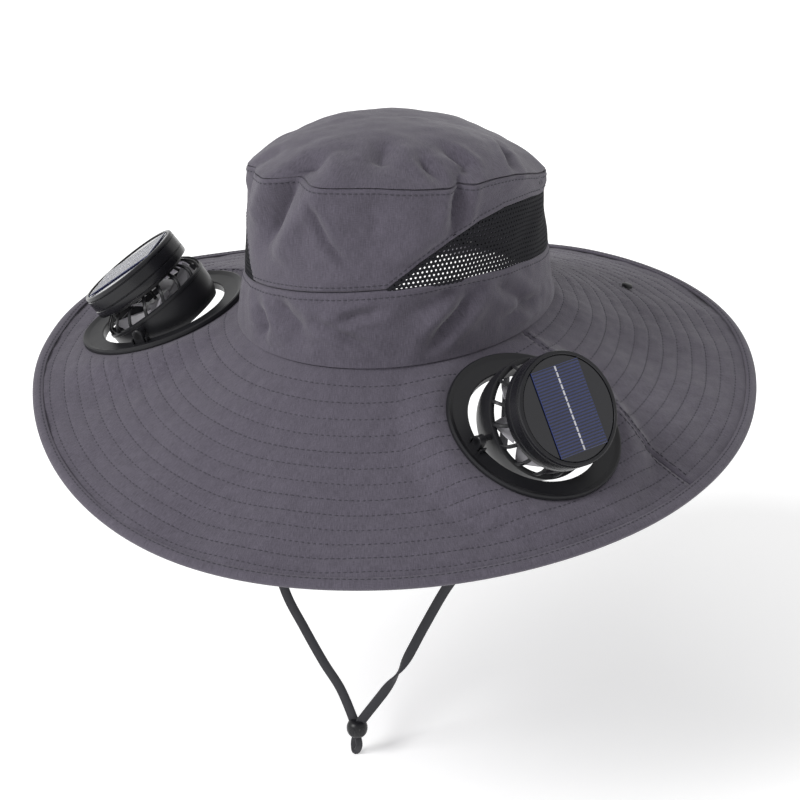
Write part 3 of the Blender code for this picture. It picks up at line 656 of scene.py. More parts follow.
def make_net(name, side):
    """Six-sided meshes in rows over the window, each with a six-sided hole."""
    table = RIGHT_WINDOW if side > 0 else LEFT_WINDOW
    fine = np.linspace(table[0][0], table[-1][0], 600)
    line = wall_point(fine, band_top(side * fine) + 0.5 * window_rise(side * fine))
    run = run_of(line)
    row_step = NET_PITCH * math.sqrt(3) / 2
    turn = np.radians(30 + 60 * np.arange(6))
    corner = np.stack([np.cos(turn), np.sin(turn)], -1)
    cells = []
    for row in range(-1, int(WINDOW_HEIGHT / row_step) + 2):
        shift = 0.5 * NET_PITCH * (row % 2)
        for u in np.arange(shift, run[-1], NET_PITCH):
            azimuth = np.interp(u, run, fine)
            if -NET_LAP < row * row_step < window_rise(side * azimuth) + NET_LAP:
                cells.append((u, row * row_step))
    cells = np.array(cells)
    radii = (NET_PITCH / math.sqrt(3), NET_PITCH * NET_HOLE / math.sqrt(3))
    flat = np.stack([cells[:, None] + radius * corner[None] for radius in radii], 1)
    azimuth = np.interp(flat[..., 0], run, fine)
    height = band_top(side * azimuth) + flat[..., 1]
    face = wall_point(side * azimuth, height)
    inwards = -unit(face * np.array([1, 1, 0]))
    sink = NET_SINK - ripple(face, 0.03, 0.0005, 21)
    outside = face + inwards * sink[..., None]
    # Rings of a cell: outer and inner at the front, then inner and outer at the back.
    back = outside + inwards * NET_DEEP
    rings = np.stack([outside[:, 0], outside[:, 1], back[:, 1], back[:, 0]], 1)
    first = (np.arange(len(cells)) * 24)[:, None]
    faces = []
    for ring in range(3):
        for k in range(6):
            m = (k + 1) % 6
            quad = [ring * 6 + k, ring * 6 + m, ring * 6 + 6 + m, ring * 6 + 6 + k]
            faces.append(first + np.array(quad if side > 0 else quad[::-1]))
    faces = np.concatenate(faces)
    spots = np.round(rings.reshape(-1, 3), 6)
    points, places = np.unique(spots, axis=0, return_inverse=True)
    return link(name, points, places.ravel()[faces], black_net.material, sharp=60)


for side_name, side in (("left", -1), ("right", 1)):
    net = make_net(f"mesh_window_{side_name}_net", side)
    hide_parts(f"mesh_window_{side_name}")
    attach(net, "hat")

# Hat band: a wide turned strip of the cloth between brim and crown, stitched along its top.
# It creases deeply where the crown has been pushed down.
BAND_FOLDS = (
    (0.0042, 0.0034, ((70, 0.80), (63, 0.60), (57, 0.44), (50, 0.18))),
    (0.0026, 0.0016, ((17, 0.60), (25, 0.70), (34, 0.74))),
    (0.0026, 0.0018, ((9, 0.62), (20, 0.44), (33, 0.20))),
    (0.0040, 0.0020, ((-22, 0.72), (-16, 0.40), (-18, 0.2))),
    (0.0050, 0.0022, ((-10, 0.84), (-2, 0.60), (4, 0.4))),
    (0.0040, 0.0020, ((96, 0.30), (86, 0.62), (78, 0.84))),
    (0.0030, 0.0016, ((104, 0.34), (90, 0.36), (80, 0.30))),
    (0.0060, 0.0022, ((44, 0.66), (58, 0.86), (74, 0.9))),
    (0.0060, 0.0020, ((-60, 0.8), (-70, 0.5), (-66, 0.2))),
    (0.0060, 0.0024, ((150, 0.8), (165, 0.5), (178, 0.3))),
    (0.0060, 0.0022, ((-150, 0.8), (-132, 0.5), (-120, 0.3))),
)
BAND_ROWS = 34
BAND_WAVES = 31
BAND_STITCHES = 0.91


def band_place(azimuth, share):
    return wall_point(azimuth, share * band_top(azimuth))


band_azimuths = np.arange(-180, 180, 0.75)
band_shares, band_tuck = turned_edges(BAND_ROWS)
band_heights = GAP + (band_top(band_azimuths) - GAP) * band_shares[:, None]
band_grid = outward(wall_point(band_azimuths[None, :], band_heights), True, CROWN_CORE)
hold = smooth(6 * band_shares) * smooth(8 * (1 - band_shares))
band_grid = creased(band_grid, True, BAND_WAVES, BAND_FOLDS, hold[:, None], band_place)
band_tuck[:3] = 0.0
band_grid -= band_tuck[:, None, None] * grid_normals(band_grid, True)
hat_band = cloth_wall("hat_band_cloth", band_grid, grey_cloth, closed=True)
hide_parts("hat_band")
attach(hat_band, "hat")
number = int(np.argmin(np.abs(band_shares - BAND_STITCHES)))
row = np.concatenate([band_grid[number], band_grid[number, :1]])
tilt = grid_normals(band_grid, True)[number]
sew("band_stitches", [stitch_row(row, np.concatenate([tilt, tilt[:1]]))])

# Brim: two halves of doubled cloth over a stiffener, quilted by thirteen rows of stitches
# and sewn together at the sides. It is pressed flat where the fans' flanges clamp it.
BRIM_WIDTH = 0.137
BRIM_SAG = 0.0055
BRIM_SEAM_AZIMUTH = 90.0
BINDING_WIDTH = 0.006
FAN_AZIMUTH = 68.0
FAN_OUT = 0.0570
LEFT_RELIEF = 0.0
RIGHT_RELIEF = 3.0
SEAT_MARGIN = 0.005
SEAT_FADE = 0.022
BAND_FADE = 0.04
FLANGE_RADIUS = 0.0512
FLANGE_HOLE = 0.0385
BRIM_HOLE_CLEARANCE = 0.0025
BRIM_ROWS = 118
BRIM_COLUMNS = 241
QUILT_ROWS = 13
QUILT_START = 0.075
QUILT_END = 0.925
QUILT_GROOVE = 0.00042
QUILT_HALF = 0.0011
WIDE_BRIM_RIPPLE = 0.05
WIDE_BRIM_DEPTH = 0.0007
FINE_BRIM_RIPPLE = 0.011
FINE_BRIM_DEPTH = 0.00018
BRIM_WAVES = 41
SEAM_DIP = 0.0011
SEAM_DIP_HALF = 0.0012
SEAM_RIDGE = 0.0004
SEAM_RIDGE_AWAY = 0.0032
SEAM_RIDGE_HALF = 0.0016
SEAM_COLUMNS = np.array([0.0, 0.12, 0.25, 0.4, 0.55])
SEAM_LAP = 1.2
BACK_ROWS_SHIFT = -0.022
BRIM_CORE = np.array([0, 0, -5.0])


def brim_plain(azimuth, share):
    azimuth, share = np.broadcast_arrays(np.asarray(azimuth, float), np.asarray(share, float))
    fall = np.radians(section("brim_fall", azimuth))
    reach = BRIM_WIDTH * section("brim_reach", azimuth) * share
    height = -reach * np.sin(fall) - BRIM_SAG * np.sin(math.pi * share)
    return np.concatenate([oval(azimuth, reach * np.cos(fall) - CLOTH), height[..., None]], -1)


def fan_seat(side):
    """Frame of a fan's flange: X runs downhill, Y along the hinge, Z out of the brim."""
    azimuth = side * FAN_AZIMUTH
    share = FAN_OUT / BRIM_WIDTH
    reach = FLANGE_RADIUS / BRIM_WIDTH
    uphill = Vector(brim_plain(azimuth, share - reach))
    downhill = Vector(brim_plain(azimuth, share + reach))
    swing = math.degrees(FLANGE_RADIUS / (0.5 * HEAD_WIDTH + FAN_OUT))
    before = Vector(brim_plain(azimuth - swing, share))
    after = Vector(brim_plain(azimuth + swing, share))
    x_axis = (downhill - uphill).normalized()
    z_axis = x_axis.cross(after - before).normalized()
    seat = Matrix((x_axis, z_axis.cross(x_axis), z_axis)).transposed().to_4x4()
    seat.translation = uphill
    relief = RIGHT_RELIEF if side > 0 else LEFT_RELIEF
    flatter = Matrix.Rotation(math.radians(-relief), 4, "Y")
    return seat @ flatter @ Matrix.Translation((FLANGE_RADIUS, 0, 0))


seats = {"left": fan_seat(-1), "right": fan_seat(1)}


def seat_place(points, seat):
    """The points in a seat's own frame."""
    turned = np.array(seat.inverted())
    return points @ turned[:3, :3].T + turned[:3, 3]


def brim_point(azimuth, share):
    """The brim's upper face, laid in the plane of each flange under and round it."""
    points = brim_plain(azimuth, share)
    share = np.broadcast_to(share, points.shape[:-1])
    for seat in seats.values():
        local = seat_place(points, seat)
        away = np.hypot(local[..., 0], local[..., 1])
        weight = 1 - smooth((away - FLANGE_RADIUS - SEAT_MARGIN) / SEAT_FADE)
        weight = weight * smooth(share / BAND_FADE)
        up = np.array(seat.col[2][:3])
        points = points - (weight * local[..., 2])[..., None] * up
    return points


def seat_away(points):
    """Distance from the nearer fan's middle, in the plane of its flange."""
    nearest = np.full(points.shape[:-1], 1.0)
    for seat in seats.values():
        local = seat_place(points, seat)
        flat = np.hypot(local[..., 0], local[..., 1])
        nearest = np.where(np.abs(local[..., 2]) < 0.03, np.minimum(nearest, flat), nearest)
    return nearest


def quilt_shares(offset):
    return np.linspace(QUILT_START, QUILT_END, QUILT_ROWS) + offset


def brim_face(azimuth, share, offset):
    """The quilted brim: grooves at the stitch rows and soft unevenness, still by the fans."""
    face = outward(brim_point(azimuth, share), False, BRIM_CORE)
    grid_share = np.broadcast_to(share, face.shape[:-1])
    groove = np.zeros(face.shape[:-1])
    for row in quilt_shares(offset):
        groove += np.exp(-(((grid_share - row) * BRIM_WIDTH / QUILT_HALF) ** 2))
    free = smooth((seat_away(face) - FLANGE_RADIUS) / 0.006)
    rim = smooth((1 - grid_share) / 0.03) * smooth(grid_share / 0.02)
    sink = QUILT_GROOVE * groove
    sink = sink + ripple(face, WIDE_BRIM_RIPPLE, WIDE_BRIM_DEPTH, BRIM_WAVES)
    sink = sink + ripple(face, FINE_BRIM_RIPPLE, FINE_BRIM_DEPTH, BRIM_WAVES + 1)
    from_seam = np.radians(np.abs(np.abs(azimuth_of(face)) - BRIM_SEAM_AZIMUTH))
    from_seam = np.hypot(face[..., 0], face[..., 1]) * from_seam
    beside = (from_seam - SEAM_RIDGE_AWAY) / SEAM_RIDGE_HALF
    sink = sink + SEAM_DIP * np.exp(-((from_seam / SEAM_DIP_HALF) ** 2))
    sink = sink - SEAM_RIDGE * np.exp(-(beside**2))
    return face - (sink * free * rim)[..., None] * grid_normals(face, False)


def hole_keep(face):
    """Snaps the points by each fan's hole onto its edge, and says which squares stay."""
    hole = FLANGE_HOLE + BRIM_HOLE_CLEARANCE
    inside = np.zeros(face.shape[:-1], bool)
    for seat in seats.values():
        local = seat_place(face, seat)
        away = np.hypot(local[..., 0], local[..., 1])
        close = (np.abs(away - hole) < 0.0009) & (np.abs(local[..., 2]) < 0.01)
        scale = np.where(close, hole / np.maximum(away, 1e-6), 1.0)
        local[..., :2] *= scale[..., None]
        axes = np.array(seat)
        face = np.where(close[..., None], local @ axes[:3, :3].T + axes[:3, 3], face)
        inside |= (away < hole + 0.0009) & (np.abs(local[..., 2]) < 0.01)
    gone = inside[:-1, :-1] & inside[1:, :-1] & inside[:-1, 1:] & inside[1:, 1:]
    return face, ~gone


def under_flange(points):
    return seat_away(points) < FLANGE_RADIUS + 0.001


brim_rows = []
halves = (("brim_front", 0.0, 0.0), ("brim_back", 180.0, BACK_ROWS_SHIFT))
for name, middle, offset in halves:
    reach = BRIM_SEAM_AZIMUTH - SEAM_SLIT
    first = middle - reach
    last = middle + reach
    inner = np.linspace(first, last, BRIM_COLUMNS)[1:-1]
    azimuths = np.concatenate([first + SEAM_COLUMNS, inner, last - SEAM_COLUMNS[::-1]])
    lap = np.zeros(len(azimuths))
    # The back half's sides are lapped under the front half's.
    if name == "brim_back":
        azimuths = np.concatenate([[first - SEAM_LAP], azimuths, [last + SEAM_LAP]])
        lap = np.zeros(len(azimuths))
        lap[[0, 1, -2, -1]] = CLOTH + GAP
    shares = np.linspace(0, 1, BRIM_ROWS)
    face = brim_face(azimuths[None, :], shares[:, None], offset)
    in_rim = 1 - smooth((shares - 0.93) / 0.04)
    face = face - (in_rim[:, None] * lap)[..., None] * grid_normals(face, False)
    # The brim's inner allowance lies flat inside the foot of the band.
    inner = face[:1] * np.array([0.955, 0.955, 1.0]) - np.array([0, 0, 0.0006])
    face = np.concatenate([inner, face])
    face, keep = hole_keep(face)
    brim = cloth_wall(f"{name}_cloth", face, grey_cloth, keep=keep)
    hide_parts(name)
    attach(brim, "hat")
    fine = np.linspace(first + 0.5, last - 0.5, 700)
    for row in quilt_shares(offset):
        strip = brim_face(fine[None, :], row + np.array([[-0.008], [0], [0.008]]), offset)
        brim_rows.append(middle_row(strip, under_flange))
line = np.linspace(0.02, 0.95, 300)
for side in (-1, 1):
    for beside in (-SEAM_LAP, SEAM_LAP):
        azimuth = side * (BRIM_SEAM_AZIMUTH + beside)
        strip = brim_face(azimuth + np.array([[-0.5], [0], [0.5]]), line[None, :], 0.0)
        normal = grid_normals(strip, False)[1]
        brim_rows.append(stitch_row(strip[1], normal * np.sign(normal[:, 2:]), under_flange))
sew("brim_stitches", brim_rows)

# Brim binding: a bias strip of the cloth, folded round the brim's edge over both halves
# and stitched through once.
BINDING_CLOTH = 0.001
BINDING_GAP = 0.0003
BINDING_BULGE = 0.0006
BINDING_STEPS = 480


def binding_rings():
    """Closed sections round the rim: out over the top, round the edge and back beneath."""
    azimuths = -BRIM_SEAM_AZIMUTH + 360.0 * np.arange(BINDING_STEPS) / BINDING_STEPS
    inner = 1 - BINDING_WIDTH / BRIM_WIDTH
    rows = np.array([inner, 0.5 + 0.5 * inner, 1.0])
    face = brim_point(azimuths[None, :], rows[:, None])
    up = grid_normals(face, True)
    if faces_in(face, True, BRIM_CORE):
        up = -up
    out = unit(face[2] - face[1])
    upper = BINDING_GAP + BINDING_CLOTH
    under = -CLOTH - BINDING_GAP
    route = (
        (0, 0.0, BINDING_GAP * 0.3),
        (0, 0.0, upper - 0.0003),
        (0, 0.0006, upper),
        (1, 0.0, upper + BINDING_BULGE),
        (2, -0.0004, upper + 0.0002),
        (2, 0.0009, upper - 0.0007),
        (2, 0.0013, -CLOTH / 2),
        (2, 0.0009, under - BINDING_CLOTH + 0.0007),
        (2, -0.0004, under - BINDING_CLOTH),
        (1, 0.0, under - BINDING_CLOTH - BINDING_BULGE / 2),
        (0, 0.0006, under - BINDING_CLOTH),
        (0, 0.0, under),
        (1, 0.0, under),
        (2, BINDING_GAP, under),
        (2, BINDING_GAP, BINDING_GAP * 0.3),
        (1, 0.0, BINDING_GAP * 0.3),
    )
    return np.stack([face[row] + a * out + b * up[row] for row, a, b in route]), up[0]


rings, rim_up = binding_rings()
count, steps = rings.shape[:2]
spot = np.arange(count * steps).reshape(count, steps)
beyond = np.roll(spot, -1, 1)
around = np.stack([spot, beyond, np.roll(beyond, -1, 0), np.roll(spot, -1, 0)], -1)
around = around.reshape(-1, 4)[:, ::-1]
rim_v = 0.0016 * np.arange(count)
rim_uv = np.stack(np.meshgrid(run_of(rings[3]), rim_v), -1).reshape(-1, 2)
binding = link("brim_binding_cloth", rings.reshape(-1, 3), around, grey_cloth, rim_uv, 60)
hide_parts("brim_binding")
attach(binding, "hat")
bound = rings[2] * 0.55 + rings[3] * 0.45
bound_up = np.concatenate([rim_up, rim_up[:1]])
sew("binding_stitches", [stitch_row(np.concatenate([bound, bound[:1]]), bound_up)])

# Fan flanges: black moulded rings that clamp the cloth round each hole. A raised lip runs
# round the edge, and two lugs on the hinge line hold the fan's pins between thin ribs.
FLANGE_PLATE = 0.0018
FLANGE_LIP = 0.0032
FLANGE_COLLAR = 0.003
PIVOT_HEIGHT = 0.007
LUG_WIDTH = 0.0062
LUG_DEPTH = 0.0045
LUG_START = 0.039
PIN_RADIUS = 0.0017
ROUND_STEPS = 112


def moulded(name, color, roughness, **constants):
    """Moulded plastic: a faint cloudiness in its gloss and a fine grain from the tool."""
    finish = Finish(name, color, roughness, **constants)
    place = finish.node("ShaderNodeTexCoord", {}, {}, "Object")
    grain = finish.spread(place, (1.0, 1.0, 1.0), 900.0)
    cloud = finish.spread(place, (1.0, 1.0, 1.0), 60.0, 3.0)
    finish.feed("Roughness", cloud * 0.16 + (roughness - 0.08))
    lighter = tuple(1.25 * c for c in color)
    darker = tuple(0.8 * c for c in color)
    finish.feed("Base Color", finish.blend(cloud, darker, lighter))
    finish.bump(grain, 0.12, 0.0001)
    return finish.material


satin_black = moulded("satin black plastic", (0.011, 0.011, 0.013), 0.38, Specular_IOR_Level=0.35)


def bar_sides(rows, count):
    """Side faces of a bar through rows of equal point counts."""
    faces = []
    for low in range(0, (rows - 1) * count, count):
        for k in range(count):
            m = (k + 1) % count
            faces.append((low + k, low + m, low + count + m, low + count + k))
    return faces


def bar_ends(rows, count):
    return tuple(range(count))[::-1], tuple((rows - 1) * count + k for k in range(count))


def bar_outline(flat):
    """Outline of a flat bar, 1 out to each side, with its corners taken off beyond flat."""
    half = ((-1, -0.5), (-flat, -1), (flat, -1), (1, -0.5))
    return (*half, *((-a, -b) for a, b in half))


class Shape:
    """Points and faces gathered for one moulded piece."""

    def __init__(self):
        self.points = []
        self.faces = []

    def add(self, points, faces, matrix=None):
        first = len(self.points)
        points = [Vector(p) for p in points]
        self.points += [matrix @ p for p in points] if matrix else points
        self.faces += [tuple(first + i for i in face) for face in faces]

    def turn(self, profile, steps=ROUND_STEPS, closed=True, matrix=None):
        """A profile of (radius, height) turned about Z. A radius of 0 is a pole."""
        points = []
        places = []
        for radius, height in profile:
            if radius == 0.0:
                places.append([len(points)] * steps)
                points.append((0, 0, height))
            else:
                places.append(list(range(len(points), len(points) + steps)))
                for t in np.arange(steps) * 2 * math.pi / steps:
                    points.append((radius * math.cos(t), radius * math.sin(t), height))
        pairs = list(zip(places, places[1:])) + ([(places[-1], places[0])] if closed else [])
        faces = []
        for low, high in pairs:
            for i in range(steps):
                k = (i + 1) % steps
                faces.append(tuple(dict.fromkeys((low[i], low[k], high[k], high[i]))))
        self.add(points, faces, matrix)

    def loft(self, sections):
        """Closed bar through sections of equal point counts, with both ends capped."""
        size = len(sections), len(sections[0])
        foot, head = bar_ends(*size)
        self.add([p for part in sections for p in part], [foot, *bar_sides(*size), head])

    def slab(self, size, place, edge=0.0003):
        """A box with its upright edges and its top eased."""
        x, y, z = (0.5 * s for s in size)
        outline = []
        for sx, sy in ((-1, -1), (1, -1), (1, 1), (-1, 1)):
            for turned in ((0, 1), (1, 0)) if sx * sy > 0 else ((1, 0), (0, 1)):
                outline.append((sx * (x - edge * turned[0]), sy * (y - edge * turned[1])))
        middle = Vector(place)
        shapes = []
        for level, pull in ((-z, 0.0), (z - edge, 0.0), (z, edge)):
            wide, deep = 1 - pull / x, 1 - pull / y
            shapes.append([middle + Vector((a * wide, b * deep, level)) for a, b in outline])
        self.loft(shapes)

    def make(self, name, look, matrix, sharp=35):
        mesh = bpy.data.meshes.new(name)
        mesh.from_pydata([tuple(matrix @ p) for p in self.points], [], self.faces)
        work = bmesh.new()
        work.from_mesh(mesh)
        bmesh.ops.recalc_face_normals(work, faces=work.faces)
        work.to_mesh(mesh)
        work.free()
        mesh.shade_smooth()
        mesh.set_sharp_from_angle(angle=math.radians(sharp))
        mesh.materials.append(look)
        made = bpy.data.objects.new(name, mesh)
        bpy.context.scene.collection.objects.link(made)
        return made


def lying(start):
    """Lays a piece built along Z along +Y from a start."""
    return Matrix.Translation((0, start, PIVOT_HEIGHT)) @ Matrix.Rotation(math.radians(-90), 4, "X")


for side_name, seat in seats.items():
    shape = Shape()
    lip = FLANGE_RADIUS
    shape.turn(
        (
            (FLANGE_HOLE, -FLANGE_COLLAR),
            (FLANGE_HOLE + 0.0014, -FLANGE_COLLAR),
            (FLANGE_HOLE + 0.0014, GAP),
            (lip - 0.0003, GAP),
            (lip, GAP + 0.0004),
            (lip, FLANGE_LIP - 0.0009),
            (lip - 0.0003, FLANGE_LIP - 0.0003),
            (lip - 0.0010, FLANGE_LIP),
            (lip - 0.0018, FLANGE_LIP - 0.0002),
            (lip - 0.0032, FLANGE_PLATE + 0.0002),
            (lip - 0.0042, FLANGE_PLATE),
            (FLANGE_HOLE + 0.0006, FLANGE_PLATE),
            (FLANGE_HOLE, FLANGE_PLATE - 0.0006),
        )
    )
    for side in (-1, 1):
        middle = side * (LUG_START + LUG_DEPTH / 2)
        post = PIVOT_HEIGHT - FLANGE_PLATE / 2
        shape.slab((LUG_WIDTH, LUG_DEPTH, post), (0, middle, PIVOT_HEIGHT - post / 2))
        half = LUG_WIDTH / 2
        knuckle = ((0.0, 0.0), (half - 0.0004, 0.0), (half, 0.0004), (half, LUG_DEPTH - 0.0004))
        knuckle += ((half - 0.0004, LUG_DEPTH), (0.0, LUG_DEPTH))
        start = LUG_START if side > 0 else -LUG_START - LUG_DEPTH
        shape.turn(knuckle, 40, False, lying(start))
        for rib in (-1, 1):
            place = (rib * (LUG_WIDTH / 2 + 0.0014), middle, FLANGE_PLATE + 0.0012)
            shape.slab((0.0010, LUG_DEPTH, 0.0036), place, 0.0002)
    flange = shape.make(f"fan_flange_{side_name}_moulding", satin_black, seat)
    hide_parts(f"fan_flange_{side_name}")
    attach(flange, "hat")

# Fan cages: a lower ring with a round skirt that tilts on its pins inside the flange, thin
# curved vanes with open windows between them, and the ring under the cap.
LEFT_TILT = 20.0
RIGHT_TILT = 28.0
RING_RADIUS = 0.034
RING_WALL = 0.0025
RING_HEIGHT = 0.009
SKIRT_DEPTH = 0.011
TOP_RING_RADIUS = 0.0275
TOP_RING_WALL = 0.0035
TOP_RING_THICK = 0.0018
CAGE_HEIGHT = 0.0112
RIB_COUNT = 16
RIB_WIDTH = 0.0022
RIB_THICK = 0.0016
RIB_BULGE = 0.0028
RIB_TWIST = 9
CAGE_TOP = RING_HEIGHT / 2 + CAGE_HEIGHT

carriers = {}
for side_name, tilt in (("left", LEFT_TILT), ("right", RIGHT_TILT)):
    lift = Matrix.Translation((0, 0, PIVOT_HEIGHT))
    carriers[side_name] = seats[side_name] @ lift @ Matrix.Rotation(math.radians(tilt), 4, "Y")

for side_name, carrier in carriers.items():
    shape = Shape()
    high = RING_HEIGHT / 2
    inner = RING_RADIUS - RING_WALL
    foot = -high - SKIRT_DEPTH
    skirt = [(math.sqrt(RING_RADIUS**2 - z**2), z) for z in np.linspace(foot, 0, 9)]
    profile = [*skirt, (RING_RADIUS, high - 0.0022), (RING_RADIUS + 0.0005, high - 0.0019)]
    profile += [(RING_RADIUS + 0.0005, high - 0.0004), (RING_RADIUS - 0.0002, high)]
    profile += [(inner, high), (inner, 0.0)]
    profile += [(radius - RING_WALL, z) for radius, z in reversed(skirt[:-1])]
    shape.turn(profile)
    base = CAGE_TOP - TOP_RING_THICK
    inside = TOP_RING_RADIUS - TOP_RING_WALL
    shape.turn(
        (
            (inside, base),
            (TOP_RING_RADIUS - 0.0003, base),
            (TOP_RING_RADIUS, base + 0.0003),
            (TOP_RING_RADIUS, CAGE_TOP),
            (inside, CAGE_TOP),
        )
    )
    start_radius = RING_RADIUS - RING_WALL / 2
    end_radius = TOP_RING_RADIUS - TOP_RING_WALL / 2
    for i in range(RIB_COUNT):
        sections = []
        for station in np.linspace(0, 1, 7):
            lift = high - 0.001 + (base + 0.0014 - high) * station
            radius = start_radius + (end_radius - start_radius) * station
            radius += RIB_BULGE * math.sin(math.pi * station)
            turn = 2 * math.pi * (i + 0.5) / RIB_COUNT + math.radians(RIB_TWIST) * station
            out = Vector((math.cos(turn), math.sin(turn), 0))
            side = Vector((-math.sin(turn), math.cos(turn), 0))
            sections.append(
                [
                    out * (radius + deep * RIB_THICK / 2)
                    + side * (across * RIB_WIDTH / 2)
                    + Vector((0, 0, lift))
                    for across, deep in bar_outline(0.7)
                ]
            )
        shape.loft(sections)
    for side in (-1, 1):
        length = LUG_START + LUG_DEPTH - RING_RADIUS + RING_WALL / 2
        start = side * (RING_RADIUS - RING_WALL / 2) - (length if side < 0 else 0)
        pin = ((0.0, 0.0), (PIN_RADIUS, 0.0), (PIN_RADIUS, length), (0.0, length))
        turn = Matrix.Translation((0, start, 0)) @ Matrix.Rotation(math.radians(-90), 4, "X")
        shape.turn(pin, 24, False, turn)
    cage = shape.make(f"fan_cage_{side_name}_moulding", satin_black, carrier)
    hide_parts(f"fan_cage_{side_name}")
    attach(cage, f"fan_{side_name}")

# Fan caps: black drums that hide the motor, with two fine grooves round the side and a
# rounded rim that holds the panel in a shallow recess.
CAP_RADIUS = 0.0325
CAP_HEIGHT = 0.0148
PANEL_RADIUS = 0.0298
PANEL_THICK = 0.0012
MOTOR_RADIUS = 0.009
MOTOR_DROP = 0.0045
SHAFT_RADIUS = 0.0012
HUB_HEIGHT = 0.0085
HUB_RADIUS = 0.0085
CAP_GROOVE = 0.0005
CAP_FLOOR = CAGE_TOP + GAP
CAP_TOP = CAP_FLOOR + CAP_HEIGHT
RECESS = CAP_TOP - PANEL_THICK - 2 * GAP
gloss_black = moulded("polished black plastic", (0.008, 0.008, 0.010), 0.26, Specular_IOR_Level=0.4)

for side_name, carrier in carriers.items():
    shape = Shape()
    radius = CAP_RADIUS
    profile = [
        (0.0, HUB_HEIGHT * (0.5 - 0.7)),
        (SHAFT_RADIUS, HUB_HEIGHT * (0.5 - 0.7)),
        (SHAFT_RADIUS, CAP_FLOOR - MOTOR_DROP),
        (MOTOR_RADIUS - 0.0005, CAP_FLOOR - MOTOR_DROP),
        (MOTOR_RADIUS, CAP_FLOOR - MOTOR_DROP + 0.0005),
        (MOTOR_RADIUS, CAP_FLOOR),
        (radius - 0.0012, CAP_FLOOR),
        (radius - 0.0003, CAP_FLOOR + 0.0003),
        (radius, CAP_FLOOR + 0.0012),
    ]
    for share in (0.34, 0.82):
        at = CAP_FLOOR + CAP_HEIGHT * share
        profile += [(radius, at - CAP_GROOVE), (radius - CAP_GROOVE, at - 0.0001)]
        profile += [(radius - CAP_GROOVE, at + 0.0001), (radius, at + CAP_GROOVE)]
    profile += [
        (radius, CAP_TOP - 0.0009),
        (radius - 0.0003, CAP_TOP - 0.0003),
        (radius - 0.0009, CAP_TOP),
        (PANEL_RADIUS + GAP + 0.0003, CAP_TOP),
        (PANEL_RADIUS + GAP, CAP_TOP - 0.0003),
        (PANEL_RADIUS + GAP, RECESS),
        (0.0, RECESS),
    ]
    shape.turn(profile, closed=False)
    cap = shape.make(f"fan_cap_{side_name}_drum", gloss_black, carrier)
    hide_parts(f"fan_cap_{side_name}")
    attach(cap, f"fan_{side_name}")

# Solar panels: a black disc under clear resin with a blue silicon cell laid in it. Dark
# fingers run across the cell, and one pale conductor runs down its middle.
CELL_LENGTH = 0.049
CELL_WIDTH = 0.0335
CELL_THICK = 0.0005
FINGER_COUNT = 28
BUSBAR_WIDTH = 0.0011
resin_black = moulded("clear coated black", (0.005, 0.005, 0.008), 0.12, Coat_Weight=0.5)
resin_blue = moulded("blue silicon", (0.014, 0.024, 0.105), 0.26, Coat_Weight=0.6)
finger_dark = moulded("dark blue bands", (0.003, 0.004, 0.014), 0.24, Coat_Weight=0.6)
pale_tin = moulded("tinned conductor", (0.60, 0.60, 0.64), 0.38, Metallic=0.5)

for side_name, carrier in carriers.items():
    low = RECESS + GAP
    high = low + PANEL_THICK - GAP
    shape = Shape()
    edge = 0.0003
    shape.turn(
        (
            (0.0, low),
            (PANEL_RADIUS, low),
            (PANEL_RADIUS, high - edge),
            (PANEL_RADIUS - edge, high),
            (0.0, high),
        ),
        closed=False,
    )
    disc = shape.make(f"solar_panel_{side_name}_disc", resin_black, carrier)
    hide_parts(f"solar_panel_{side_name}")
    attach(disc, f"fan_{side_name}")
    shape = Shape()
    cell_low = high + GAP
    shape.slab((CELL_LENGTH, CELL_WIDTH, CELL_THICK), (0, 0, cell_low + CELL_THICK / 2), 0.0001)
    cell = shape.make(f"solar_cell_{side_name}_silicon", resin_blue, carrier)
    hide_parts(f"solar_cell_{side_name}")
    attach(cell, f"fan_{side_name}")
    shape = Shape()
    pitch = CELL_LENGTH / FINGER_COUNT
    top = cell_low + CELL_THICK + 0.00005
    for i in range(FINGER_COUNT):
        x = (i + 0.5) * pitch - CELL_LENGTH / 2
        size = (pitch * 0.46, CELL_WIDTH - 0.0006, 0.0001)
        shape.slab(size, (x, 0, top), 0.00003)
    fingers = shape.make(f"solar_cell_{side_name}_bands", finger_dark, carrier)
    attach(fingers, f"fan_{side_name}")
    shape = Shape()
    for i in range(FINGER_COUNT // 2):
        x = (2 * i + 1) * pitch - CELL_LENGTH / 2
        shape.slab((pitch * 1.62, BUSBAR_WIDTH, 0.00016), (x, 0, top + 0.00005), 0.00004)
    busbar = shape.make(f"solar_cell_{side_name}_busbar", pale_tin, carrier)
    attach(busbar, f"fan_{side_name}")

# Impellers: light grey moulded blades on a hub, pushed on the motor's shaft. They show
# between the vanes of the cage.
BLADE_RADIUS = 0.0285
BLADE_COUNT = 7
BLADE_PITCH = 28
BLADE_THICK = 0.0012
BLADE_LIFT = 0.0032
BLADE_OUTLINE = ((-1, -0.4), (-0.4, -0.2), (0.4, -0.2), (1, -0.6))
BLADE_OUTLINE += ((1, 0.0), (0.4, 0.9), (-0.4, 0.9), (-1, 0.4))
grey_plastic = moulded("light grey plastic", (0.40, 0.39, 0.42), 0.42)

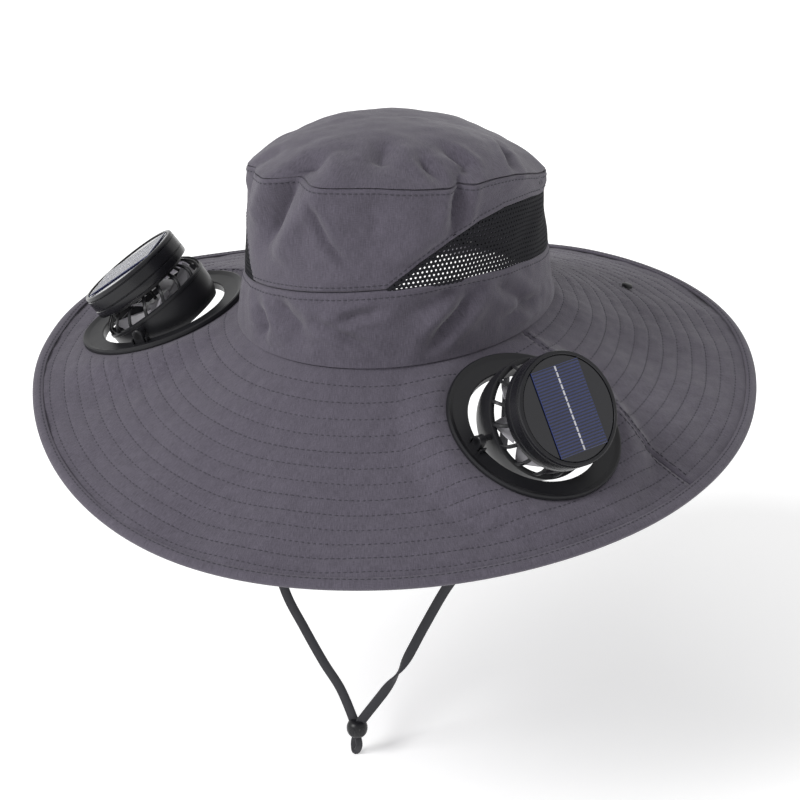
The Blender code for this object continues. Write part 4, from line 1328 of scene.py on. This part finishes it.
for side_name, carrier in carriers.items():
    shape = Shape()
    low = -HUB_HEIGHT / 2
    high = HUB_HEIGHT / 2
    bore = SHAFT_RADIUS + GAP
    floor = high - HUB_HEIGHT * 0.7 - GAP
    shape.turn(
        (
            (0.0, low),
            (HUB_RADIUS - 0.0012, low),
            (HUB_RADIUS - 0.0003, low + 0.0003),
            (HUB_RADIUS, low + 0.0012),
            (HUB_RADIUS, high - 0.0004),
            (HUB_RADIUS - 0.0004, high),
            (bore, high),
            (bore, floor),
            (0.0, floor),
        ),
        56,
        closed=False,
    )
    for i in range(BLADE_COUNT):
        turn = 2 * math.pi * i / BLADE_COUNT
        sections = []
        for share in np.linspace(0, 1, 10):
            radius = HUB_RADIUS - 0.0015 + (BLADE_RADIUS - HUB_RADIUS + 0.0015) * share
            chord = np.interp(share, (0, 0.5, 1), (0.0066, 0.0130, 0.0182))
            lean = math.radians(BLADE_PITCH * (1 + 0.45 * share))
            sweep = turn + 0.25 * (radius / BLADE_RADIUS) ** 2
            out = Vector((math.cos(sweep), math.sin(sweep), 0))
            side = Vector((-math.sin(sweep), math.cos(sweep), 0))
            along = side * math.cos(lean) + Vector((0, 0, math.sin(lean)))
            face = side * -math.sin(lean) + Vector((0, 0, math.cos(lean)))
            sections.append(
                [
                    out * math.sqrt(radius**2 - (a * chord * math.cos(lean) / 2) ** 2)
                    + along * (a * chord / 2)
                    + face * (b * BLADE_THICK / 2)
                    + Vector((0, 0, BLADE_LIFT * share))
                    for a, b in BLADE_OUTLINE
                ]
            )
        shape.loft(sections)
    impeller = shape.make(f"fan_impeller_{side_name}_blades", grey_plastic, carrier)
    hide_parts(f"fan_impeller_{side_name}")
    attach(impeller, f"impeller_{side_name}")

# Chin strap: one length of flat black tape, sewn into the band seam on both sides. Both
# runs go through the bead lock, and the right-hand run is turned over near the bottom.
STRAP_WIDTH = 0.006
STRAP_THICK = 0.0011
STRAP_LEFT_ROUTE = (
    (-0.0788, -0.006, 0.012),
    (-0.0798, -0.008, -0.008),
    (-0.0818, -0.012, -0.034),
    (-0.0845, -0.017, -0.066),
    (-0.0848, -0.022, -0.100),
    (-0.0822, -0.027, -0.134),
    (-0.0755, -0.028, -0.168),
    (-0.0639, -0.030, -0.1988),
    (-0.0475, -0.034, -0.2173),
    (-0.0307, -0.0375, -0.2350),
    (-0.0158, -0.041, -0.2475),
    (-0.0036, -0.0460, -0.2612),
)
STRAP_RIGHT_ROUTE = (
    (0.0797, -0.006, 0.012),
    (0.0803, -0.008, -0.006),
    (0.0818, -0.012, -0.034),
    (0.0842, -0.018, -0.064),
    (0.0822, -0.024, -0.096),
    (0.0755, -0.029, -0.124),
    (0.0655, -0.032, -0.144),
    (0.0542, -0.033, -0.1631),
    (0.0412, -0.035, -0.1902),
    (0.0293, -0.038, -0.2169),
    (0.0176, -0.041, -0.2380),
    (0.0036, -0.0460, -0.2612),
)
TOGGLE_PLACE = (0.0, -0.0462, -0.2678)
TOGGLE_RADIUS = 0.0065
TAIL_LENGTH = 0.0115
TAIL_WIDTH = 0.0042
TAIL_THICK = 0.9 * STRAP_THICK
TWIST_START = 0.555
TWIST_SPAN = 0.075


def taped(name, color):
    """Woven tape: a fine rib across it and close threads along it."""
    finish = Finish(name, color, 0.78, Sheen_Weight=0.1)
    place = finish.node("ShaderNodeUVMap", {"uv_map": "cloth"}, {}, 0)
    rib = finish.spread(place, (1.0, 0.08, 1.0), 1500.0)
    yarn = finish.spread(place, (0.15, 1.0, 1.0), 1700.0)
    lighter = tuple(2.1 * c for c in color)
    finish.feed("Base Color", finish.blend(rib * 0.6 + yarn * 0.5, color, lighter))
    finish.bump(rib + yarn * 0.7, 0.5, 0.0003)
    return finish.material


black_tape = taped("black tape", (0.013, 0.013, 0.016))


def curve_through(route, count):
    """Evenly spaced points on a smooth curve through a route's own points."""
    places = np.array(route, float)
    ends = np.concatenate([[2 * places[0] - places[1]], places, [2 * places[-1] - places[-2]]])
    t = np.linspace(0, 1, 20, endpoint=False)[:, None]
    line = [curve_between(*four, t) for four in zip(ends, ends[1:], ends[2:], ends[3:])]
    line = np.concatenate([*line, places[-1:]])
    run = run_of(line)
    return at_run(np.linspace(0, run[-1], count), run, line), run[-1]


def tape(name, line, facing, width, thick):
    """Flat tape along a line, with its broad face toward facing at each point."""
    way = unit(np.gradient(line, axis=0))
    up = square_to(way, facing)
    side = np.cross(way, up)
    outline = bar_outline(0.94)
    rings = np.stack([line + side * a * width / 2 + up * b * thick / 2 for a, b in outline], 1)
    across = [a * width / 2 for a, _ in outline]
    uv = np.stack([np.repeat(run_of(line), len(outline)), np.tile(across, len(line))], -1)
    size = len(line), len(outline)
    faces = [*bar_sides(*size), *bar_ends(*size)]
    return link(name, rings.reshape(-1, 3), faces, black_tape, uv, 60)


lock = np.array(TOGGLE_PLACE)
inside_lock = [lock + (-0.0016, 0, 0.001), lock + (0, 0, -0.0015), lock + (0.0016, 0, 0.001)]
strap_route = [*STRAP_LEFT_ROUTE, *inside_lock, *reversed(STRAP_RIGHT_ROUTE)]
STRAP_STEPS = 420
strap_line, strap_length = curve_through(strap_route, STRAP_STEPS)
# The tape's face looks out sideways at the top and to the front lower down. The right run
# turns over once, a hand's width above the lock.
share = np.linspace(0, 1, STRAP_STEPS)
sideways = np.clip(np.abs(share - 0.5) * 5 - 1.3, 0, 1)[:, None]
to_side = np.where(share[:, None] < 0.5, -1.0, 1.0) * np.array([1.0, 0.15, 0.0])
front_way = np.array([0.40, -0.90, 0.10])
facing = front_way * (1 - sideways) + to_side * sideways
turn = math.pi * smooth((share - TWIST_START) / TWIST_SPAN)
way = unit(np.gradient(strap_line, axis=0))
facing = square_to(way, facing)
turned_face = np.cos(turn)[:, None] * facing + np.sin(turn)[:, None] * np.cross(way, facing)
strap = tape("chin_strap_tape", strap_line, turned_face, STRAP_WIDTH, STRAP_THICK)

toggle_shape = Shape()
levels = ((-0.94, 0.36), (-0.88, 0.5), (-0.72, 0.72), (-0.5, 0.88), (-0.25, 0.97), (0.0, 1.0))
levels += ((0.25, 0.98), (0.5, 0.9), (0.7, 0.76), (0.82, 0.6), (0.86, 0.46))
toggle_profile = [(0.0, levels[0][0] * TOGGLE_RADIUS)]
toggle_profile += [(r * TOGGLE_RADIUS, h * TOGGLE_RADIUS) for h, r in levels]
toggle_profile += [(0.0, levels[-1][0] * TOGGLE_RADIUS)]
toggle_shape.turn(toggle_profile, 56, closed=False)
# Raised rims round the two eye-shaped slots on the bead's front.
for side in (-1, 1):
    ring = []
    for t in np.linspace(0, 2 * math.pi, 28, endpoint=False):
        centre_turn = VIEW_AZIMUTH + side * 0.48
        yaw = centre_turn + 0.30 * math.cos(t)
        rise = 0.42 * math.sin(t)
        level = math.cos(rise)
        out = Vector((math.sin(yaw) * level, -math.cos(yaw) * level, math.sin(rise)))
        beside = Vector((0, 0, 1)).cross(out).normalized()
        inward = Vector((math.cos(t), math.sin(t)))
        bar = beside * inward.x + out.cross(beside) * inward.y
        spot = out * TOGGLE_RADIUS * 0.985
        small = 0.00035
        ring.append([spot + bar * small, spot + out * small, spot - bar * small, spot - out * small])
    points = [p for part in ring for p in part]
    faces = []
    for i in range(len(ring)):
        j = (i + 1) % len(ring)
        for k in range(4):
            m = (k + 1) % 4
            faces.append((4 * i + k, 4 * i + m, 4 * j + m, 4 * j + k))
    toggle_shape.add(points, faces)
toggle = toggle_shape.make("strap_toggle_bead", satin_black, Matrix.Translation(TOGGLE_PLACE))
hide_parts("strap_toggle")
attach(toggle, "hat")

tail_top = lock + (0, 0, -0.0052)
tail_tip = tail_top + (-0.0012, 0.0, -TAIL_LENGTH - 0.0006)
tail_route = (
    tail_top + (-0.0012, 0.0008, 0.0),
    tail_top + (-0.0028, 0.0008, -0.006),
    tail_tip + (-0.0006, 0.0, 0.0005),
    tail_tip + (0.0012, 0.0, 0.0012),
    tail_top + (0.0020, -0.0008, -0.006),
    tail_top + (0.0010, -0.0008, 0.0),
)
tail_line, _ = curve_through(tail_route, 60)
tail_facing = np.tile(np.array([0.5, -0.86, 0.0]), (60, 1))
tail_facing += np.linspace(-1, 1, 60)[:, None] * np.array([0.5, 0.3, 0.0])
tail = tape("strap_tail_tape", tail_line, tail_facing, TAIL_WIDTH, TAIL_THICK)
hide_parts("strap_tail")
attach(tail, "hat")

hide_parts("chin_strap_left", "chin_strap_right")
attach(strap, "hat")

# Stud: a small black snap on the back of the brim, right of the middle, on its stem.
STUD_AZIMUTH = 157
STUD_SHARE = 0.55
STUD_RADIUS = 0.0035
STUD_HEIGHT = 0.0022
stud_azimuths = STUD_AZIMUTH + np.array([[-1, 0, 1.0]])
stud_spots = brim_point(stud_azimuths, STUD_SHARE + np.array([[-0.02], [0], [0.02]]))
stud_up = grid_normals(stud_spots, False)[1, 1]
stud_up = Vector(stud_up if stud_up[2] > 0 else -stud_up)
stand = stud_up.to_track_quat("Z", "Y").to_matrix().to_4x4()
stand.translation = Vector(stud_spots[1, 1]) + stud_up * 2 * GAP
shape = Shape()
rounding = ((0.0, 0.0), (1.0, 0.0), (1.0, 0.4), (0.95, 0.7), (0.7, 0.95), (0.4, 1.0), (0.0, 1.0))
shape.turn([(r * STUD_RADIUS, h * STUD_HEIGHT) for r, h in rounding], 48, closed=False)
stud = shape.make("brim_stud_cap", satin_black, stand)
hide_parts("brim_stud")
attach(stud, "hat")

# Studio: a pale floor under the strap's end, lit a little from below as a light table is,
# a white room and one soft key light from the upper left.
FLOOR_SIZE = 30.0
FLOOR_DROP = 0.001
floor_height = cad_box[0][2] - FLOOR_DROP
floor_look = Finish("studio floor", (0.93, 0.93, 0.93), 0.9, Emission_Strength=0.32)
floor_look.shader.inputs["Emission Color"].default_value = (1.0, 1.0, 1.0, 1.0)
spot = FLOOR_SIZE / 2
corners = [(-spot, -spot, floor_height), (spot, -spot, floor_height), (spot, spot, floor_height)]
corners.append((-spot, spot, floor_height))
floor = link("studio_floor", corners, [(0, 1, 2, 3)], floor_look.material)

world = bpy.data.worlds.new("studio")
world.use_nodes = True
world.node_tree.nodes["Background"].inputs["Color"].default_value = (1.0, 1.0, 1.0, 1.0)
world.node_tree.nodes["Background"].inputs["Strength"].default_value = 0.66
bpy.context.scene.world = world
bpy.context.scene.view_settings.view_transform = "Standard"
KEY_FROM = Vector((-0.42, -0.85, 0.80))
key = bpy.data.objects.new("key light", bpy.data.lights.new("key light", "SUN"))
key.data.energy = 2.0
key.data.angle = math.radians(24)
key.rotation_euler = (-KEY_FROM).to_track_quat("-Z", "Y").to_euler()
bpy.context.scene.collection.objects.link(key)
